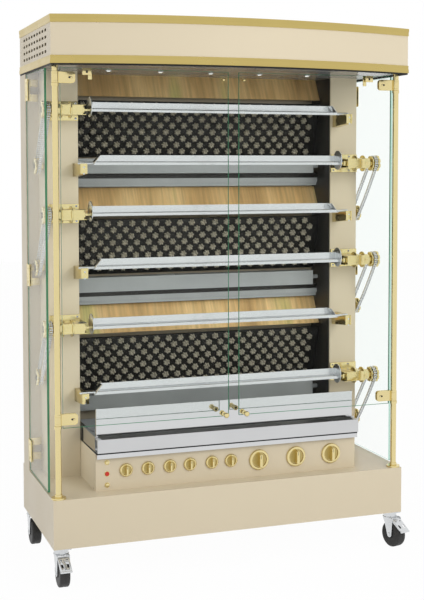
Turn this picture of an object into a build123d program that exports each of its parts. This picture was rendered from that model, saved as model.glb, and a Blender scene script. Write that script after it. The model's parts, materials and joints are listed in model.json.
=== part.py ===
from build123d import *
import os
from math import acos, atan2, cos, degrees, hypot, pi, radians, sin, tan

os.makedirs("parts", exist_ok=True)

# A six-spit wall rotisserie on casters, in millimetres, +Z up.
# The origin is on the floor under the middle of the whole machine.
# Depths are measured from the front face of the base, and heights from the floor.

# Overall casing
body_width = 1375.0
base_depth = 590.0
base_height = 177.0
caster_height = 136.0
chamber_height = 1533.0
canopy_width = 1382.0
canopy_height = 168.0
canopy_overhang = 29.0
canopy_bow = 114.0
canopy_back_depth = 568.0
steel_wall = 3.0
fit = 0.05
clearance = 0.3

# Columns, door stiles and rear cabinet
chamber_width = 1038.0
column_width = 115.6
column_front = 313.5
stile_front = 460.0
cabinet_front = 500.0
cabinet_back = 572.0

# Canopy trim, vents and ceiling
band_height = 28.0
band_thickness = 3.0
ceiling_thickness = 2.0
vent_columns = 9
vent_rows = 4
vent_length = 34.0
vent_height = 10.0
vent_pitch_y = 51.0
vent_pitch_z = 25.0
vent_middle_depth = 268.0

# Corner posts
post_radius = 11.0
post_offset_x = 663.6
post_depth = 25.0
post_flange_radius = 26.0
post_flange_height = 6.0
collar_radius = 13.5
collar_height = 10.0

# Front glass doors and their fittings
glass = 8.0
door_glass_depth = 28.0
door_gap = 40.0
door_outer_x = 645.0
door_bottom = 563.0
door_top = 1836.0
patch_inner_x = 591.0
patch_height = 41.0
patch_bottoms = (574.0, 1782.0)
patch_thickness = 4.0
sleeve_radius = 12.5
clip_x = 550.0
clip_width = 32.0
clip_height = 24.0
clip_rear_x = 536.0
clip_rear_width = 14.0
clip_rear_height = 39.0
catch_x = 40.0
catch_drop = 28.0
catch_radius = 5.0
knob_rise = 9.0
door_knob_radius = 10.0
door_knob_reach = 38.0
door_knob_rear = 12.0

# Side glass doors and their hinges
side_glass_outer_x = 687.5
side_door_front = 96.0
side_door_bottom = 319.0
side_door_top = 1838.0
hinge_axis_x = 685.0
hinge_axis_depth = 453.5
hinge_barrel_radius = 6.0
hinge_pin_radius = 2.5
hinge_plate = 3.0
hinge_plate_length = 42.0
hinge_height = 84.0
hinge_bottoms = (356.0, 1034.0, 1737.0)
hinge_glass_gap = 8.0

# Roasting stages
stage_tops = (1866.0, 1406.0, 946.0)
hood_rise = 106.0
hood_top_depth = 475.0
hood_foot_depth = 416.0
plate_steel = 2.0
fireback_drop = 123.0
fireback_height = 217.0
fireback_top_depth = 418.0
fireback_foot_depth = 482.0
fireback_thickness = 8.0
stud_rows = 8
stud_first_row = 0.6
stud_columns = 20
stud_row_pitch = 26.4
stud_pitch = 49.0
stud_radius = 13.0
stud_height = 9.0
burner_drop = 346.0
burner_height = 57.0
burner_front_depth = 405.0
burner_depth = 70.0
burner_left_x = -500.0
burner_right_x = 484.0
shield_drop = 407.0
shield_height = 34.0
shield_front_depth = 440.0
strip_height = 14.0
injector_radius = 9.0

# Spits: heights from the top, the drive side alternates
spit_heights = (1697.0, 1502.0, 1314.0, 1117.5, 896.5, 651.5)
spit_drive_sides = (-1, 1, -1, 1, -1, 1)
spit_depth = 200.0
spit_half_length = 498.0
spear_start = 466.0
spear_tip = 494.0
spit_web = 44.0
spit_web_rise = 4.8
spit_flange_rear = 27.0
spit_flange_front = 12.0
spit_steel = 3.0
spit_rod_radius = 5.5
spit_rod_end = 546.0
spit_disc_radius = 38.0
spit_disc_rise = 12.0
spit_disc_x = 498.0
spit_disc_thickness = 4.0
spit_tang_depth = 22.0
spit_tang_height = 20.0
spit_tang_start = 521.0
spit_tang_end = 548.0
spit_key = 8.0

# Bearing blocks, end rests and chain drives
bearing_inner_x = 519.0
bearing_outer_x = 612.0
bearing_front_depth = 170.0
bearing_half_height = 19.0
bearing_plate = 8.0
bearing_plate_height = 72.0
bearing_groove = (571.0, 588.0, 6.0)
bearing_flange_xs = (571.0, 606.0)
bearing_flange = 5.0
bearing_flange_radius = 32.0
spindle_radius = 12.0
spindle_inner_x = 556.0
socket_radius = 16.0
mouth_length = 12.0
mouth_half_height = 16.5
neck_radius = 22.0
neck_outer_x = 634.0
rest_inner_left = 514.0
rest_inner_right = 528.0
rest_width = 26.0
rest_front_depth = 181.0
rest_height = 38.0
rest_root_height = 50.0
sprocket_x = 656.0
sprocket_thickness = 5.0
sprocket_hub_radius = 14.0
sprocket_window_radius = 3.5
sprocket_windows = 5
star_wheel_notch = 5.0
star_wheel_notches = 8
inner_wheel_span = (641.0, 646.0)
inner_wheel_radius = 30.0
outer_wheel_span = (664.0, 674.0)
outer_wheel_radius = 32.0
motor_wheel_span = (664.0, 670.0)
motor_wheel_radius = 31.0
chain_pitch = 9.525
spit_teeth = 18
motor_teeth = 18
motor_depth = 365.0
motor_drop = 205.0
motor_shaft_radius = 7.0
motor_length = 84.0
motor_gearbox_length = 32.0
motor_size = 62.0
motor_can_radius = 27.0
motor_bore_depth = 22.0
chain_plate = 1.5
chain_plate_height = 8.2
chain_plate_gap = 0.5
roller_radius = 3.1
tooth_height = 3.6

# Control box, drip tray and splash panel
control_front_depth = 70.6
control_height = 140.0
control_gap = 1.0
knob_height = 384.0
small_knob_xs = (-405.0, -322.0, -238.0, -160.0, -74.0, 2.0)
small_knob_radius = 24.5
gas_knob_height = 377.0
gas_knob_xs = (115.0, 267.0, 414.0)
gas_knob_radius = 39.0
knob_disc = 9.0
small_knob_grip = 22.0
gas_knob_grip = 30.0
knob_shaft_radius = 4.0
knob_shaft_depth = 14.0
button_x = -476.0
button_heights = (417.0, 334.0)
button_radius = 7.0
button_reach = 8.0
button_depth = 12.0
lamp_radius = 8.0
lamp_reach = 5.0
lamp_height = 375.0
lip_depth = 47.0
lip_height = 20.0
tray_width = 1036.0
tray_wall = 12.0
tray_top = 512.0
tray_side_front = 80.0
tray_steel = 3.0
rail_width = 10.0
rail_height = 2.7
drawer_front_depth = 38.0
drawer_bottom = 459.0
drawer_height = 49.0
drawer_return = 38.0
drawer_back_depth = 430.0
drawer_wall = 3.0
drawer_side_gap = 2.0
splash_depth = 85.0
splash_height = 100.0
splash_return = 10.0

# Casters
wheel_radius = 50.0
wheel_width = 37.0
wheel_hub_radius = 16.0
axle_radius = 4.0
caster_trail = 22.5
caster_inset = 32.5
fork_plate = 3.0
fork_leg_gap = 2.0
fork_crown_height = 112.0
fork_crown_thickness = 4.0
fork_crown_radius = 28.0
fork_foot_radius = 12.0
kingpin_head_radius = 9.0
kingpin_head_height = 4.0
kingpin_radius = 5.0
raceway_radius = 26.0
mount_plate_size = 62.0
mount_plate_thickness = 4.0
front_left_turn = -90.0
front_right_turn = -75.0
rear_left_turn = -90.0
rear_right_turn = -90.0
pedal_pivot_out = 34.0
pedal_pivot_height = 109.5
pedal_pin_radius = 3.0
pedal_ear_radius = 6.0
pedal_steel = 2.5
pedal_tip_out = 88.0
pedal_tip_height = 72.0
pedal_bar_radius = 4.0
pedal_bar_width = 42.0

# Heights and places worked out from the sizes above
front_y = -(base_depth - canopy_overhang - canopy_bow) / 2
base_top = caster_height + base_height
chamber_top = base_top + chamber_height
canopy_top = chamber_top + canopy_height
column_inner_x = chamber_width / 2
column_outer_x = column_inner_x + column_width
control_width = chamber_width - 2 * control_gap
control_top = base_top + control_height
sheet_width = chamber_width - 2 * clearance


def front(depth):
    """The Y place of a depth measured from the front face of the base."""
    return front_y + depth


def side_plane(x, depth=-front_y, z=0):
    """A plane square to X, with its first axis to the back and its second axis up."""
    return Plane(origin=(x, front(depth), z), x_dir=(0, 1, 0), z_dir=(1, 0, 0))


def face_plane(x, depth, z):
    """A plane that faces the front, with its first axis to the right and its second axis up."""
    return Plane(origin=(x, front(depth), z), x_dir=(1, 0, 0), z_dir=(0, -1, 0))


def block(x, depth, z, width, length, height, mode=Mode.ADD):
    """A box centred on x, with its front face at depth and its underside at z."""
    with BuildSketch(Plane.XY.offset(z)) as outline:
        with Locations((x, front(depth) + length / 2)):
            Rectangle(width, length)
    extrude(outline.sketch, amount=height, mode=mode)


def rod_x(x, depth, z, radius, length, mode=Mode.ADD):
    """A round bar along X that starts at x."""
    with BuildSketch(side_plane(x, depth, z)) as outline:
        Circle(radius)
    extrude(outline.sketch, amount=length, mode=mode)


def rod_y(x, depth, z, radius, length, mode=Mode.ADD):
    """A round bar that runs back from depth."""
    with BuildSketch(face_plane(x, depth, z)) as outline:
        Circle(radius)
    extrude(outline.sketch, amount=-length, mode=mode)


def rod_z(x, depth, z, radius, height, mode=Mode.ADD):
    """A round bar that stands on z."""
    with BuildSketch(Plane.XY.offset(z)) as outline:
        with Locations((x, front(depth))):
            Circle(radius)
    extrude(outline.sketch, amount=height, mode=mode)


def hollow_box(x, depth, z, width, length, height):
    """A closed folded-steel box."""
    block(x, depth, z, width, length, height)
    block(
        x,
        depth + steel_wall,
        z + steel_wall,
        width - 2 * steel_wall,
        length - 2 * steel_wall,
        height - 2 * steel_wall,
        mode=Mode.SUBTRACT,
    )


def side_profile(points):
    """A closed outline of (depth, height) points in the YZ plane, for extruding along X."""
    return [(front(depth), z) for depth, z in points]


def finish(item, name):
    item.part.label = name
    export_step(item.part, "parts/" + name + ".step")


# Base plinth: a closed welded box
with BuildPart() as base_plinth:
    hollow_box(0, 0, caster_height, body_width, base_depth, base_height)
finish(base_plinth, "base_plinth")

# Rear cabinet: the closed box behind the roasting chamber
with BuildPart() as rear_cabinet:
    hollow_box(0, cabinet_front, base_top, body_width, cabinet_back - cabinet_front, chamber_height)
finish(rear_cabinet, "rear_cabinet")

# Side columns and, behind each, the stile that carries a side door
column_x = (column_inner_x + column_outer_x) / 2
stile_width = body_width / 2 - column_outer_x
stile_x = column_outer_x + stile_width / 2
with BuildPart() as side_columns:
    for side in (-1, 1):
        column_length = cabinet_front - column_front
        hollow_box(side * column_x, column_front, base_top, column_width, column_length, chamber_height)
        hollow_box(
            side * stile_x,
            stile_front,
            base_top,
            stile_width,
            cabinet_front - stile_front,
            chamber_height,
        )
    for side, z in zip(spit_drive_sides, spit_heights):
        hole_x = min(side * column_outer_x, side * (column_outer_x - steel_wall))
        rod_x(
            hole_x,
            motor_depth,
            z - motor_drop,
            motor_shaft_radius + fit,
            steel_wall,
            mode=Mode.SUBTRACT,
        )
finish(side_columns, "side_columns")


def canopy_outline(inset):
    """The canopy seen from above: straight sides and back, and a bowed front."""
    half = canopy_width / 2 - inset
    corner = front(-canopy_overhang) + inset
    crown = front(-canopy_overhang - canopy_bow) + inset
    with BuildLine() as edge:
        bow = ThreePointArc((-half, corner), (0, crown), (half, corner))
        right = Line(bow @ 1, (half, front(canopy_back_depth) - inset))
        rear = Line(right @ 1, (-half, front(canopy_back_depth) - inset))
        Line(rear @ 1, bow @ 0)
    return edge.line


def canopy_slab(inset, z, height, mode=Mode.ADD):
    """A slab of the canopy's outline, drawn in by inset."""
    with BuildSketch(Plane.XY.offset(z)) as face:
        with BuildLine() as edge:
            add(canopy_outline(inset))
        make_face()
    extrude(face.sketch, amount=height, mode=mode)


# Canopy shell: open underneath, with slots for the hot air in both sides
shell_bottom = chamber_top + ceiling_thickness
shell_inset = band_thickness
with BuildPart() as canopy_shell:
    canopy_slab(shell_inset, shell_bottom, canopy_top - shell_bottom)
    canopy_slab(
        shell_inset + steel_wall,
        shell_bottom + steel_wall,
        canopy_top - shell_bottom - 2 * steel_wall,
        mode=Mode.SUBTRACT,
    )
    vent_middle = chamber_top + canopy_height / 2
    with BuildSketch(side_plane(0, vent_middle_depth, vent_middle)) as vents:
        with GridLocations(vent_pitch_y, vent_pitch_z, vent_columns, vent_rows):
            SlotOverall(vent_length, vent_height)
    extrude(vents.sketch, amount=canopy_width / 2, both=True, mode=Mode.SUBTRACT)
finish(canopy_shell, "canopy_shell")

# Brass bands along the canopy's lower and upper edges, over the front and both sides
with BuildPart() as canopy_bands:
    for z in (chamber_top, canopy_top - band_height):
        canopy_slab(0, z, band_height)
        canopy_slab(band_thickness, z, band_height, mode=Mode.SUBTRACT)
    rear_strip_depth = canopy_back_depth - band_thickness
    for z in (chamber_top, canopy_top - band_height):
        block(0, rear_strip_depth, z, canopy_width, band_thickness, band_height, mode=Mode.SUBTRACT)
finish(canopy_bands, "canopy_bands")

# Polished ceiling under the canopy
with BuildPart() as canopy_ceiling:
    canopy_slab(band_thickness, chamber_top, ceiling_thickness)
finish(canopy_ceiling, "canopy_ceiling")

# Corner posts with a flange on the base, a collar under each door hinge and one at the ceiling
with BuildPart() as corner_posts:
    for side in (-1, 1):
        post_x = side * post_offset_x
        rod_z(post_x, post_depth, base_top, post_radius, chamber_height)
        rod_z(post_x, post_depth, base_top, post_flange_radius, post_flange_height)
        for patch_bottom in patch_bottoms:
            collar_z = patch_bottom - clearance - collar_height
            rod_z(post_x, post_depth, collar_z, collar_radius, collar_height)
        foot_z = base_top + post_flange_height
        rod_z(post_x, post_depth, foot_z, collar_radius, collar_height)
finish(corner_posts, "corner_posts")

# Front glass doors, hinged on the corner posts
door_inner_x = door_gap / 2
door_width = door_outer_x - door_inner_x
door_middle_x = (door_outer_x + door_inner_x) / 2
door_height = door_top - door_bottom
patch_x = (patch_inner_x + door_outer_x) / 2
patch_width = door_outer_x - patch_inner_x
fitting_front = door_glass_depth - patch_thickness
fitting_length = glass + 2 * patch_thickness
catch_height = door_top - catch_drop
knob_z = door_bottom + knob_rise
for side, hand in ((-1, "left"), (1, "right")):
    with BuildPart() as front_door:
        block(side * door_middle_x, door_glass_depth, door_bottom, door_width, glass, door_height)
        rod_y(side * catch_x, door_glass_depth, catch_height, hinge_pin_radius, glass, mode=Mode.SUBTRACT)
        rod_y(side * catch_x, door_glass_depth, knob_z, hinge_pin_radius, glass, mode=Mode.SUBTRACT)
    finish(front_door, "front_door_" + hand)

    with BuildPart() as front_fittings:
        for patch_bottom in patch_bottoms:
            rod_z(side * post_offset_x, post_depth, patch_bottom, sleeve_radius, patch_height)
            arm_x = (patch_inner_x + post_offset_x) / 2
            arm_width = post_offset_x - patch_inner_x
            block(side * arm_x, fitting_front, patch_bottom, arm_width, fitting_length, patch_height)
            block(
                side * (patch_x - sleeve_radius),
                door_glass_depth,
                patch_bottom,
                patch_width + 2 * sleeve_radius,
                glass,
                patch_height,
                mode=Mode.SUBTRACT,
            )
            rod_z(
                side * post_offset_x,
                post_depth,
                patch_bottom,
                post_radius + fit,
                patch_height,
                mode=Mode.SUBTRACT,
            )
        clip_z = door_top - clip_height
        rear_z = door_top - clip_rear_height
        rear_depth = door_glass_depth + glass
        block(side * clip_x, fitting_front, clip_z, clip_width, patch_thickness, clip_height)
        block(side * clip_rear_x, rear_depth, rear_z, clip_rear_width, patch_thickness, clip_rear_height)
        rod_y(side * catch_x, fitting_front, catch_height, hinge_pin_radius, fitting_length)
        rod_y(side * catch_x, fitting_front, catch_height, catch_radius, patch_thickness)
        rod_y(side * catch_x, rear_depth, catch_height, catch_radius, patch_thickness)
        knob_front = door_glass_depth - door_knob_reach
        stem_length = door_knob_reach + glass + door_knob_rear
        rod_y(side * catch_x, knob_front, knob_z, hinge_pin_radius, stem_length)
        rod_y(side * catch_x, knob_front, knob_z, door_knob_radius, door_knob_reach / 2)
        rod_y(side * catch_x, fitting_front, knob_z, catch_radius, patch_thickness)
        rod_y(side * catch_x, rear_depth, knob_z, catch_radius, patch_thickness)
        knob_rear = rear_depth + door_knob_rear
        rod_y(side * catch_x, knob_rear, knob_z, door_knob_radius, patch_thickness)
    finish(front_fittings, "front_fittings_" + hand)

# Side glass doors, hinged on the stiles, with brass plates and barrels
side_door_back = hinge_axis_depth - hinge_glass_gap
side_door_length = side_door_back - side_door_front
side_door_height = side_door_top - side_door_bottom
side_glass_x = side_glass_outer_x - glass / 2
barrel_height = (hinge_height - 2 * clearance) / 3
plate_front = side_door_back - hinge_plate_length
plate_reach = hinge_axis_depth - plate_front
plate_outer_x = side_glass_outer_x + hinge_plate / 2
plate_inner_x = side_glass_outer_x - glass - hinge_plate / 2
for side, hand in ((-1, "left"), (1, "right")):
    with BuildPart() as side_door:
        block(
            side * side_glass_x,
            side_door_front,
            side_door_bottom,
            glass,
            side_door_length,
            side_door_height,
        )
    finish(side_door, "side_door_" + hand)

    with BuildPart() as side_hinges:
        for z in hinge_bottoms:
            middle_z = z + barrel_height + clearance
            block(side * plate_outer_x, plate_front, z, hinge_plate, hinge_plate_length, hinge_height)
            block(side * plate_inner_x, plate_front, z, hinge_plate, hinge_plate_length, hinge_height)
            web_width = glass + 2 * hinge_plate
            web_length = plate_reach - hinge_plate_length
            block(side * side_glass_x, side_door_back, middle_z, web_width, web_length, barrel_height)
            rod_z(side * hinge_axis_x, hinge_axis_depth, middle_z, hinge_barrel_radius, barrel_height)
            rod_z(
                side * hinge_axis_x,
                hinge_axis_depth,
                middle_z,
                hinge_pin_radius + fit,
                barrel_height,
                mode=Mode.SUBTRACT,
            )
    finish(side_hinges, "side_hinges_" + hand)

# Fixed halves of the side hinges: a leaf on the stile, two barrels and the pin
leaf_front = stile_front - hinge_plate
leaf_inner_x = column_outer_x + clearance
leaf_outer_x = hinge_axis_x
leaf_width = leaf_outer_x - leaf_inner_x
with BuildPart() as hinge_leaves:
    for side in (-1, 1):
        for z in hinge_bottoms:
            leaf_x = side * (leaf_inner_x + leaf_outer_x) / 2
            upper_z = z + 2 * (barrel_height + clearance)
            for barrel_z in (z, upper_z):
                rod_z(side * hinge_axis_x, hinge_axis_depth, barrel_z, hinge_barrel_radius, barrel_height)
                block(leaf_x, leaf_front, barrel_z, leaf_width, hinge_plate, barrel_height)
            rod_z(side * hinge_axis_x, hinge_axis_depth, z, hinge_pin_radius, hinge_height)
finish(hinge_leaves, "hinge_leaves")

# Flame hoods: folded copper-toned sheets that lean forward at the foot
with BuildPart() as flame_hoods:
    for stage_top in stage_tops:
        lean = (hood_top_depth - hood_foot_depth) / hood_rise
        hood_top = min(stage_top, chamber_top)
        hood_top_at = hood_top_depth - lean * (stage_top - hood_top)
        hood_foot = stage_top - hood_rise
        hood_shape = side_profile(
            (
                (hood_top_at, hood_top),
                (hood_foot_depth, hood_foot),
                (hood_foot_depth + plate_steel, hood_foot),
                (hood_top_at + plate_steel, hood_top),
            )
        )
        with BuildSketch(side_plane(-sheet_width / 2)):
            Polygon(*hood_shape, align=None)
        extrude(amount=sheet_width)
        flange_length = cabinet_front - hood_top_at
        block(0, hood_top_at, hood_top - plate_steel, sheet_width, flange_length, plate_steel)
finish(flame_hoods, "flame_hoods")

# Cast firebacks: leaning plates, each with staggered rows of studs
lean_run = fireback_foot_depth - fireback_top_depth
fireback_lean = degrees(atan2(lean_run, fireback_height))
fireback_length = hypot(lean_run, fireback_height)
with BuildPart() as firebacks:
    for stage_top in stage_tops:
        plate_top = stage_top - fireback_drop
        plate_plane = Plane(
            origin=(0, front(fireback_top_depth), plate_top),
            x_dir=(1, 0, 0),
            z_dir=(0, -cos(radians(fireback_lean)), -sin(radians(fireback_lean))),
        )
        with BuildSketch(plate_plane):
            with Locations((0, -fireback_length / 2)):
                Rectangle(sheet_width, fireback_length)
        extrude(amount=-fireback_thickness)
        with BuildSketch(plate_plane) as studs:
            for row in range(stud_rows):
                stud_y = -(row + stud_first_row) * stud_row_pitch
                stagger = stud_pitch / 4 if row % 2 else -stud_pitch / 4
                with Locations((stagger, stud_y)):
                    with GridLocations(stud_pitch, stud_row_pitch, stud_columns, 1):
                        Circle(stud_radius)
        extrude(amount=stud_height)
finish(firebacks, "firebacks")

# Burner boxes with a gas injector into the right column, and the shields under the upper two
burner_middle_x = (burner_left_x + burner_right_x) / 2
burner_width = burner_right_x - burner_left_x
shield_back_step = 10.0
with BuildPart() as burners:
    for stage_top in stage_tops:
        burner_top = stage_top - burner_drop
        burner_bottom = burner_top - burner_height
        burner_axis = burner_top - burner_height / 2
        burner_axis_depth = burner_front_depth + burner_depth / 2
        box_size = (burner_width, burner_depth, burner_height)
        block(burner_middle_x, burner_front_depth, burner_bottom, *box_size)
        injector_length = column_inner_x - burner_right_x
        stub_length = column_inner_x + burner_left_x
        rod_x(burner_right_x, burner_axis_depth, burner_axis, injector_radius, injector_length)
        rod_x(-column_inner_x, burner_axis_depth, burner_axis, injector_radius, stub_length)
    for stage_top in stage_tops[:-1]:
        shield_bottom = stage_top - shield_drop - shield_height
        strip_depth = shield_front_depth + shield_back_step
        block(0, shield_front_depth, shield_bottom, sheet_width, plate_steel, shield_height)
        step_length = shield_back_step + plate_steel
        strip_bottom = shield_bottom - strip_height
        block(0, shield_front_depth, shield_bottom, sheet_width, step_length, plate_steel)
        block(0, strip_depth, strip_bottom, sheet_width, plate_steel, strip_height + plate_steel)
finish(burners, "burners")

# Control box under the chamber, with holes for the knob shafts, the buttons and the lamp
control_length = cabinet_front - control_front_depth
with BuildPart() as control_box:
    hollow_box(0, control_front_depth, base_top, control_width, control_length, control_height)
    shaft_holes = [(x, knob_height) for x in small_knob_xs] + [(x, gas_knob_height) for x in gas_knob_xs]
    for x, z in shaft_holes:
        rod_y(x, control_front_depth, z, knob_shaft_radius + fit, steel_wall, mode=Mode.SUBTRACT)
    for z in button_heights:
        rod_y(button_x, control_front_depth, z, button_radius + fit, steel_wall, mode=Mode.SUBTRACT)
    rod_y(button_x, control_front_depth, lamp_height, lamp_radius + fit, steel_wall, mode=Mode.SUBTRACT)
finish(control_box, "control_box")

# Red pilot lamp
with BuildPart() as pilot_lamp:
    lamp_length = 2 * lamp_reach + steel_wall
    rod_y(button_x, control_front_depth - lamp_reach, lamp_height, lamp_radius, lamp_length)
    fillet(pilot_lamp.edges().filter_by(GeomType.CIRCLE).sort_by(Axis.Y)[0], lamp_reach / 2)
finish(pilot_lamp, "pilot_lamp")


def knob(x, z, radius, grip):
    """A round knob with an upright grip bar and a shaft through the panel."""
    disc_back = control_front_depth - clearance
    disc_front = disc_back - knob_disc
    rod_y(x, disc_front, z, radius, knob_disc)
    with BuildSketch(Plane(origin=(x, front(disc_front), z), x_dir=(0, 0, 1), z_dir=(0, -1, 0))) as bar:
        SlotOverall(2 * radius - knob_disc / 2, radius / 3)
    extrude(bar.sketch, amount=grip)
    rod_y(x, disc_back, z, knob_shaft_radius, knob_shaft_depth)


# Six small knobs for the spit motors and three large gas knobs
for number, x in enumerate(small_knob_xs, 1):
    with BuildPart() as small_knob:
        knob(x, knob_height, small_knob_radius, small_knob_grip)
    finish(small_knob, "motor_knob_" + str(number))

for number, x in enumerate(gas_knob_xs, 1):
    with BuildPart() as gas_knob:
        knob(x, gas_knob_height, gas_knob_radius, gas_knob_grip)
    finish(gas_knob, "gas_knob_" + str(number))

# Push buttons above and below the lamp
for z, name in zip(button_heights, ("upper_button", "lower_button")):
    with BuildPart() as button:
        rod_y(button_x, control_front_depth - button_reach, z, button_radius, button_reach + button_depth)
    finish(button, name)

# Tray frame on the control box: floor, front lip, side walls, the drawer's rails
# and the polished splash panel that stands on the side walls
tray_inner_x = tray_width / 2 - tray_wall
splash_width = 2 * (tray_inner_x + tray_wall / 2)
rail_bottom = drawer_bottom - clearance - rail_height
lip_bottom = control_top + tray_steel - lip_height
with BuildPart() as tray_frame:
    block(0, lip_depth, control_top, tray_width, cabinet_front - lip_depth, tray_steel)
    block(0, lip_depth, lip_bottom, tray_width, tray_steel, lip_height)
    for side in (-1, 1):
        wall_x = side * (tray_inner_x + tray_wall / 2)
        rail_x = side * (tray_inner_x - rail_width / 2)
        wall_length = cabinet_front - tray_side_front
        rail_length = drawer_back_depth - tray_side_front
        block(wall_x, tray_side_front, control_top, tray_wall, wall_length, tray_top - control_top)
        return_x = side * (splash_width - plate_steel) / 2
        block(rail_x, tray_side_front, rail_bottom, rail_width, rail_length, rail_height)
        block(return_x, splash_depth, tray_top, plate_steel, splash_return, splash_height)
    block(0, splash_depth, tray_top, splash_width, plate_steel, splash_height)
finish(tray_frame, "tray_frame")

# Drip drawer that runs on the rails
drawer_half = tray_inner_x - drawer_side_gap
drawer_body_front = drawer_front_depth + drawer_wall
drawer_body_length = drawer_back_depth - drawer_body_front
drawer_body_height = drawer_height - drawer_wall
return_bottom = drawer_bottom + drawer_height - drawer_wall
with BuildPart() as drip_drawer:
    block(0, drawer_front_depth, drawer_bottom, tray_width, drawer_wall, drawer_height)
    block(0, drawer_front_depth, return_bottom, tray_width, drawer_return, drawer_wall)
    block(0, drawer_body_front, drawer_bottom, 2 * drawer_half, drawer_body_length, drawer_body_height)
    block(
        0,
        drawer_body_front,
        drawer_bottom + drawer_wall,
        2 * (drawer_half - drawer_wall),
        drawer_body_length - drawer_wall,
        drawer_body_height,
        mode=Mode.SUBTRACT,
    )
finish(drip_drawer, "drip_drawer")

# Chain drive geometry shared by the sprockets and the chains
spit_pitch_radius = chain_pitch / (2 * sin(pi / spit_teeth))
motor_pitch_radius = chain_pitch / (2 * sin(pi / motor_teeth))


def sprocket(side, depth, z, teeth, pitch_radius, windows):
    """A toothed plate with round lightening windows, square to X."""
    start = side * sprocket_x - sprocket_thickness / 2
    with BuildSketch(side_plane(start, depth, z)) as plate:
        Circle(pitch_radius + tooth_height)
        with PolarLocations(pitch_radius, teeth):
            Circle(roller_radius + clearance, mode=Mode.SUBTRACT)
        if windows:
            window_ring = (sprocket_hub_radius + pitch_radius - roller_radius) / 2
            with PolarLocations(window_ring, windows):
                Circle(sprocket_window_radius, mode=Mode.SUBTRACT)
    extrude(plate.sketch, amount=sprocket_thickness)


def star_wheel(side, span, depth, z, radius):
    """A wheel with round notches in its rim, square to X."""
    inner, outer = span
    start = min(side * inner, side * outer)
    with BuildSketch(side_plane(start, depth, z)) as star:
        Circle(radius)
        with PolarLocations(radius, star_wheel_notches):
            Circle(star_wheel_notch, mode=Mode.SUBTRACT)
    extrude(star.sketch, amount=outer - inner)


def span_x(side, inner, outer, depth, z, radius, mode=Mode.ADD):
    """A round bar along X between two distances from the middle, on one side."""
    rod_x(min(side * inner, side * outer), depth, z, radius, outer - inner, mode=mode)


def side_block(side, inner, outer, depth, z, length, height, mode=Mode.ADD):
    """A box between two distances from the middle, on one side."""
    block(side * (inner + outer) / 2, depth, z, outer - inner, length, height, mode=mode)


# Spits: a Z-section bar with a spear end, a rod for the rest, and a brass spindle with its sprocket
spit_web_front = spit_depth - spit_web / 2
web_bottom = spit_web_rise - spit_steel / 2
spear_run = spear_tip - spear_start
for number, (drive, z) in enumerate(zip(spit_drive_sides, spit_heights), 1):
    web_z = z + web_bottom
    with BuildPart() as spit:
        bar_middle = drive * (spit_half_length - spear_tip) / 2
        bar_length = spit_half_length + spear_tip
        rear_flange = spit_web_front + spit_web - spit_steel
        block(bar_middle, spit_web_front, web_z, bar_length, spit_web, spit_steel)
        block(bar_middle, rear_flange, web_z, bar_length, spit_steel, spit_flange_rear)
        front_flange_z = web_z + spit_steel - spit_flange_front
        block(bar_middle, spit_web_front, front_flange_z, bar_length, spit_steel, spit_flange_front)
        spear_top = web_z + spit_flange_rear
        spear_cut = (
            (-drive * spear_start, spear_top),
            (-drive * spear_tip, front_flange_z),
            (-drive * (spear_tip + spear_run), front_flange_z),
            (-drive * (spear_tip + spear_run), spear_top),
        )
        cut_plane = face_plane(0, spit_web_front, 0)
        with BuildSketch(cut_plane) as cut:
            Polygon(*spear_cut, align=None)
        extrude(cut.sketch, amount=-spit_web, mode=Mode.SUBTRACT)
        cap_shape = (
            (-drive * spear_start, spear_top),
            (-drive * spear_tip, front_flange_z),
            (-drive * (spear_tip - spit_steel), front_flange_z),
            (-drive * (spear_start - spit_steel), spear_top),
        )
        with BuildSketch(cut_plane) as cap:
            Polygon(*cap_shape, align=None)
        extrude(cap.sketch, amount=-spit_web)
        span_x(-drive, spear_start - spear_run, spit_rod_end, spit_depth, z, spit_rod_radius)
        key_front = spit_depth - spit_key / 2
        key_inner = spit_half_length - spear_run
        side_block(drive, key_inner, spindle_inner_x, key_front, z - spit_key / 2, spit_key, spit_key)
        tang_front = spit_depth - spit_tang_depth / 2
        tang_z = z - spit_tang_height / 2
        tang_size = (spit_tang_depth, spit_tang_height)
        side_block(drive, spit_tang_start, spit_tang_end, tang_front, tang_z, *tang_size)
        disc_outer = spit_disc_x + spit_disc_thickness
        span_x(drive, spit_disc_x, disc_outer, spit_depth, z + spit_disc_rise, spit_disc_radius)
        sprocket_outer = sprocket_x + sprocket_thickness / 2
        hub_inner = neck_outer_x + 2 * clearance
        span_x(drive, spindle_inner_x, sprocket_outer, spit_depth, z, spindle_radius)
        span_x(drive, hub_inner, outer_wheel_span[1], spit_depth, z, sprocket_hub_radius)
        sprocket(drive, spit_depth, z, spit_teeth, spit_pitch_radius, sprocket_windows)
        star_wheel(drive, inner_wheel_span, spit_depth, z, inner_wheel_radius)
        star_wheel(drive, outer_wheel_span, spit_depth, z, outer_wheel_radius)
    finish(spit, "spit_" + str(number))

# Motor sprockets on shafts that come out through the columns' outer walls
motor_face_x = column_outer_x - steel_wall
for number, (drive, z) in enumerate(zip(spit_drive_sides, spit_heights), 1):
    motor_z = z - motor_drop
    with BuildPart() as motor_sprocket:
        shaft_inner = motor_face_x - motor_bore_depth + clearance
        hub_start = column_outer_x + 2 * clearance
        span_x(drive, shaft_inner, sprocket_x, motor_depth, motor_z, motor_shaft_radius)
        span_x(drive, hub_start, motor_wheel_span[1], motor_depth, motor_z, sprocket_hub_radius)
        sprocket(drive, motor_depth, motor_z, motor_teeth, motor_pitch_radius, 0)
        star_wheel(drive, motor_wheel_span, motor_depth, motor_z, motor_wheel_radius)
    finish(motor_sprocket, "motor_sprocket_" + str(number))

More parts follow.
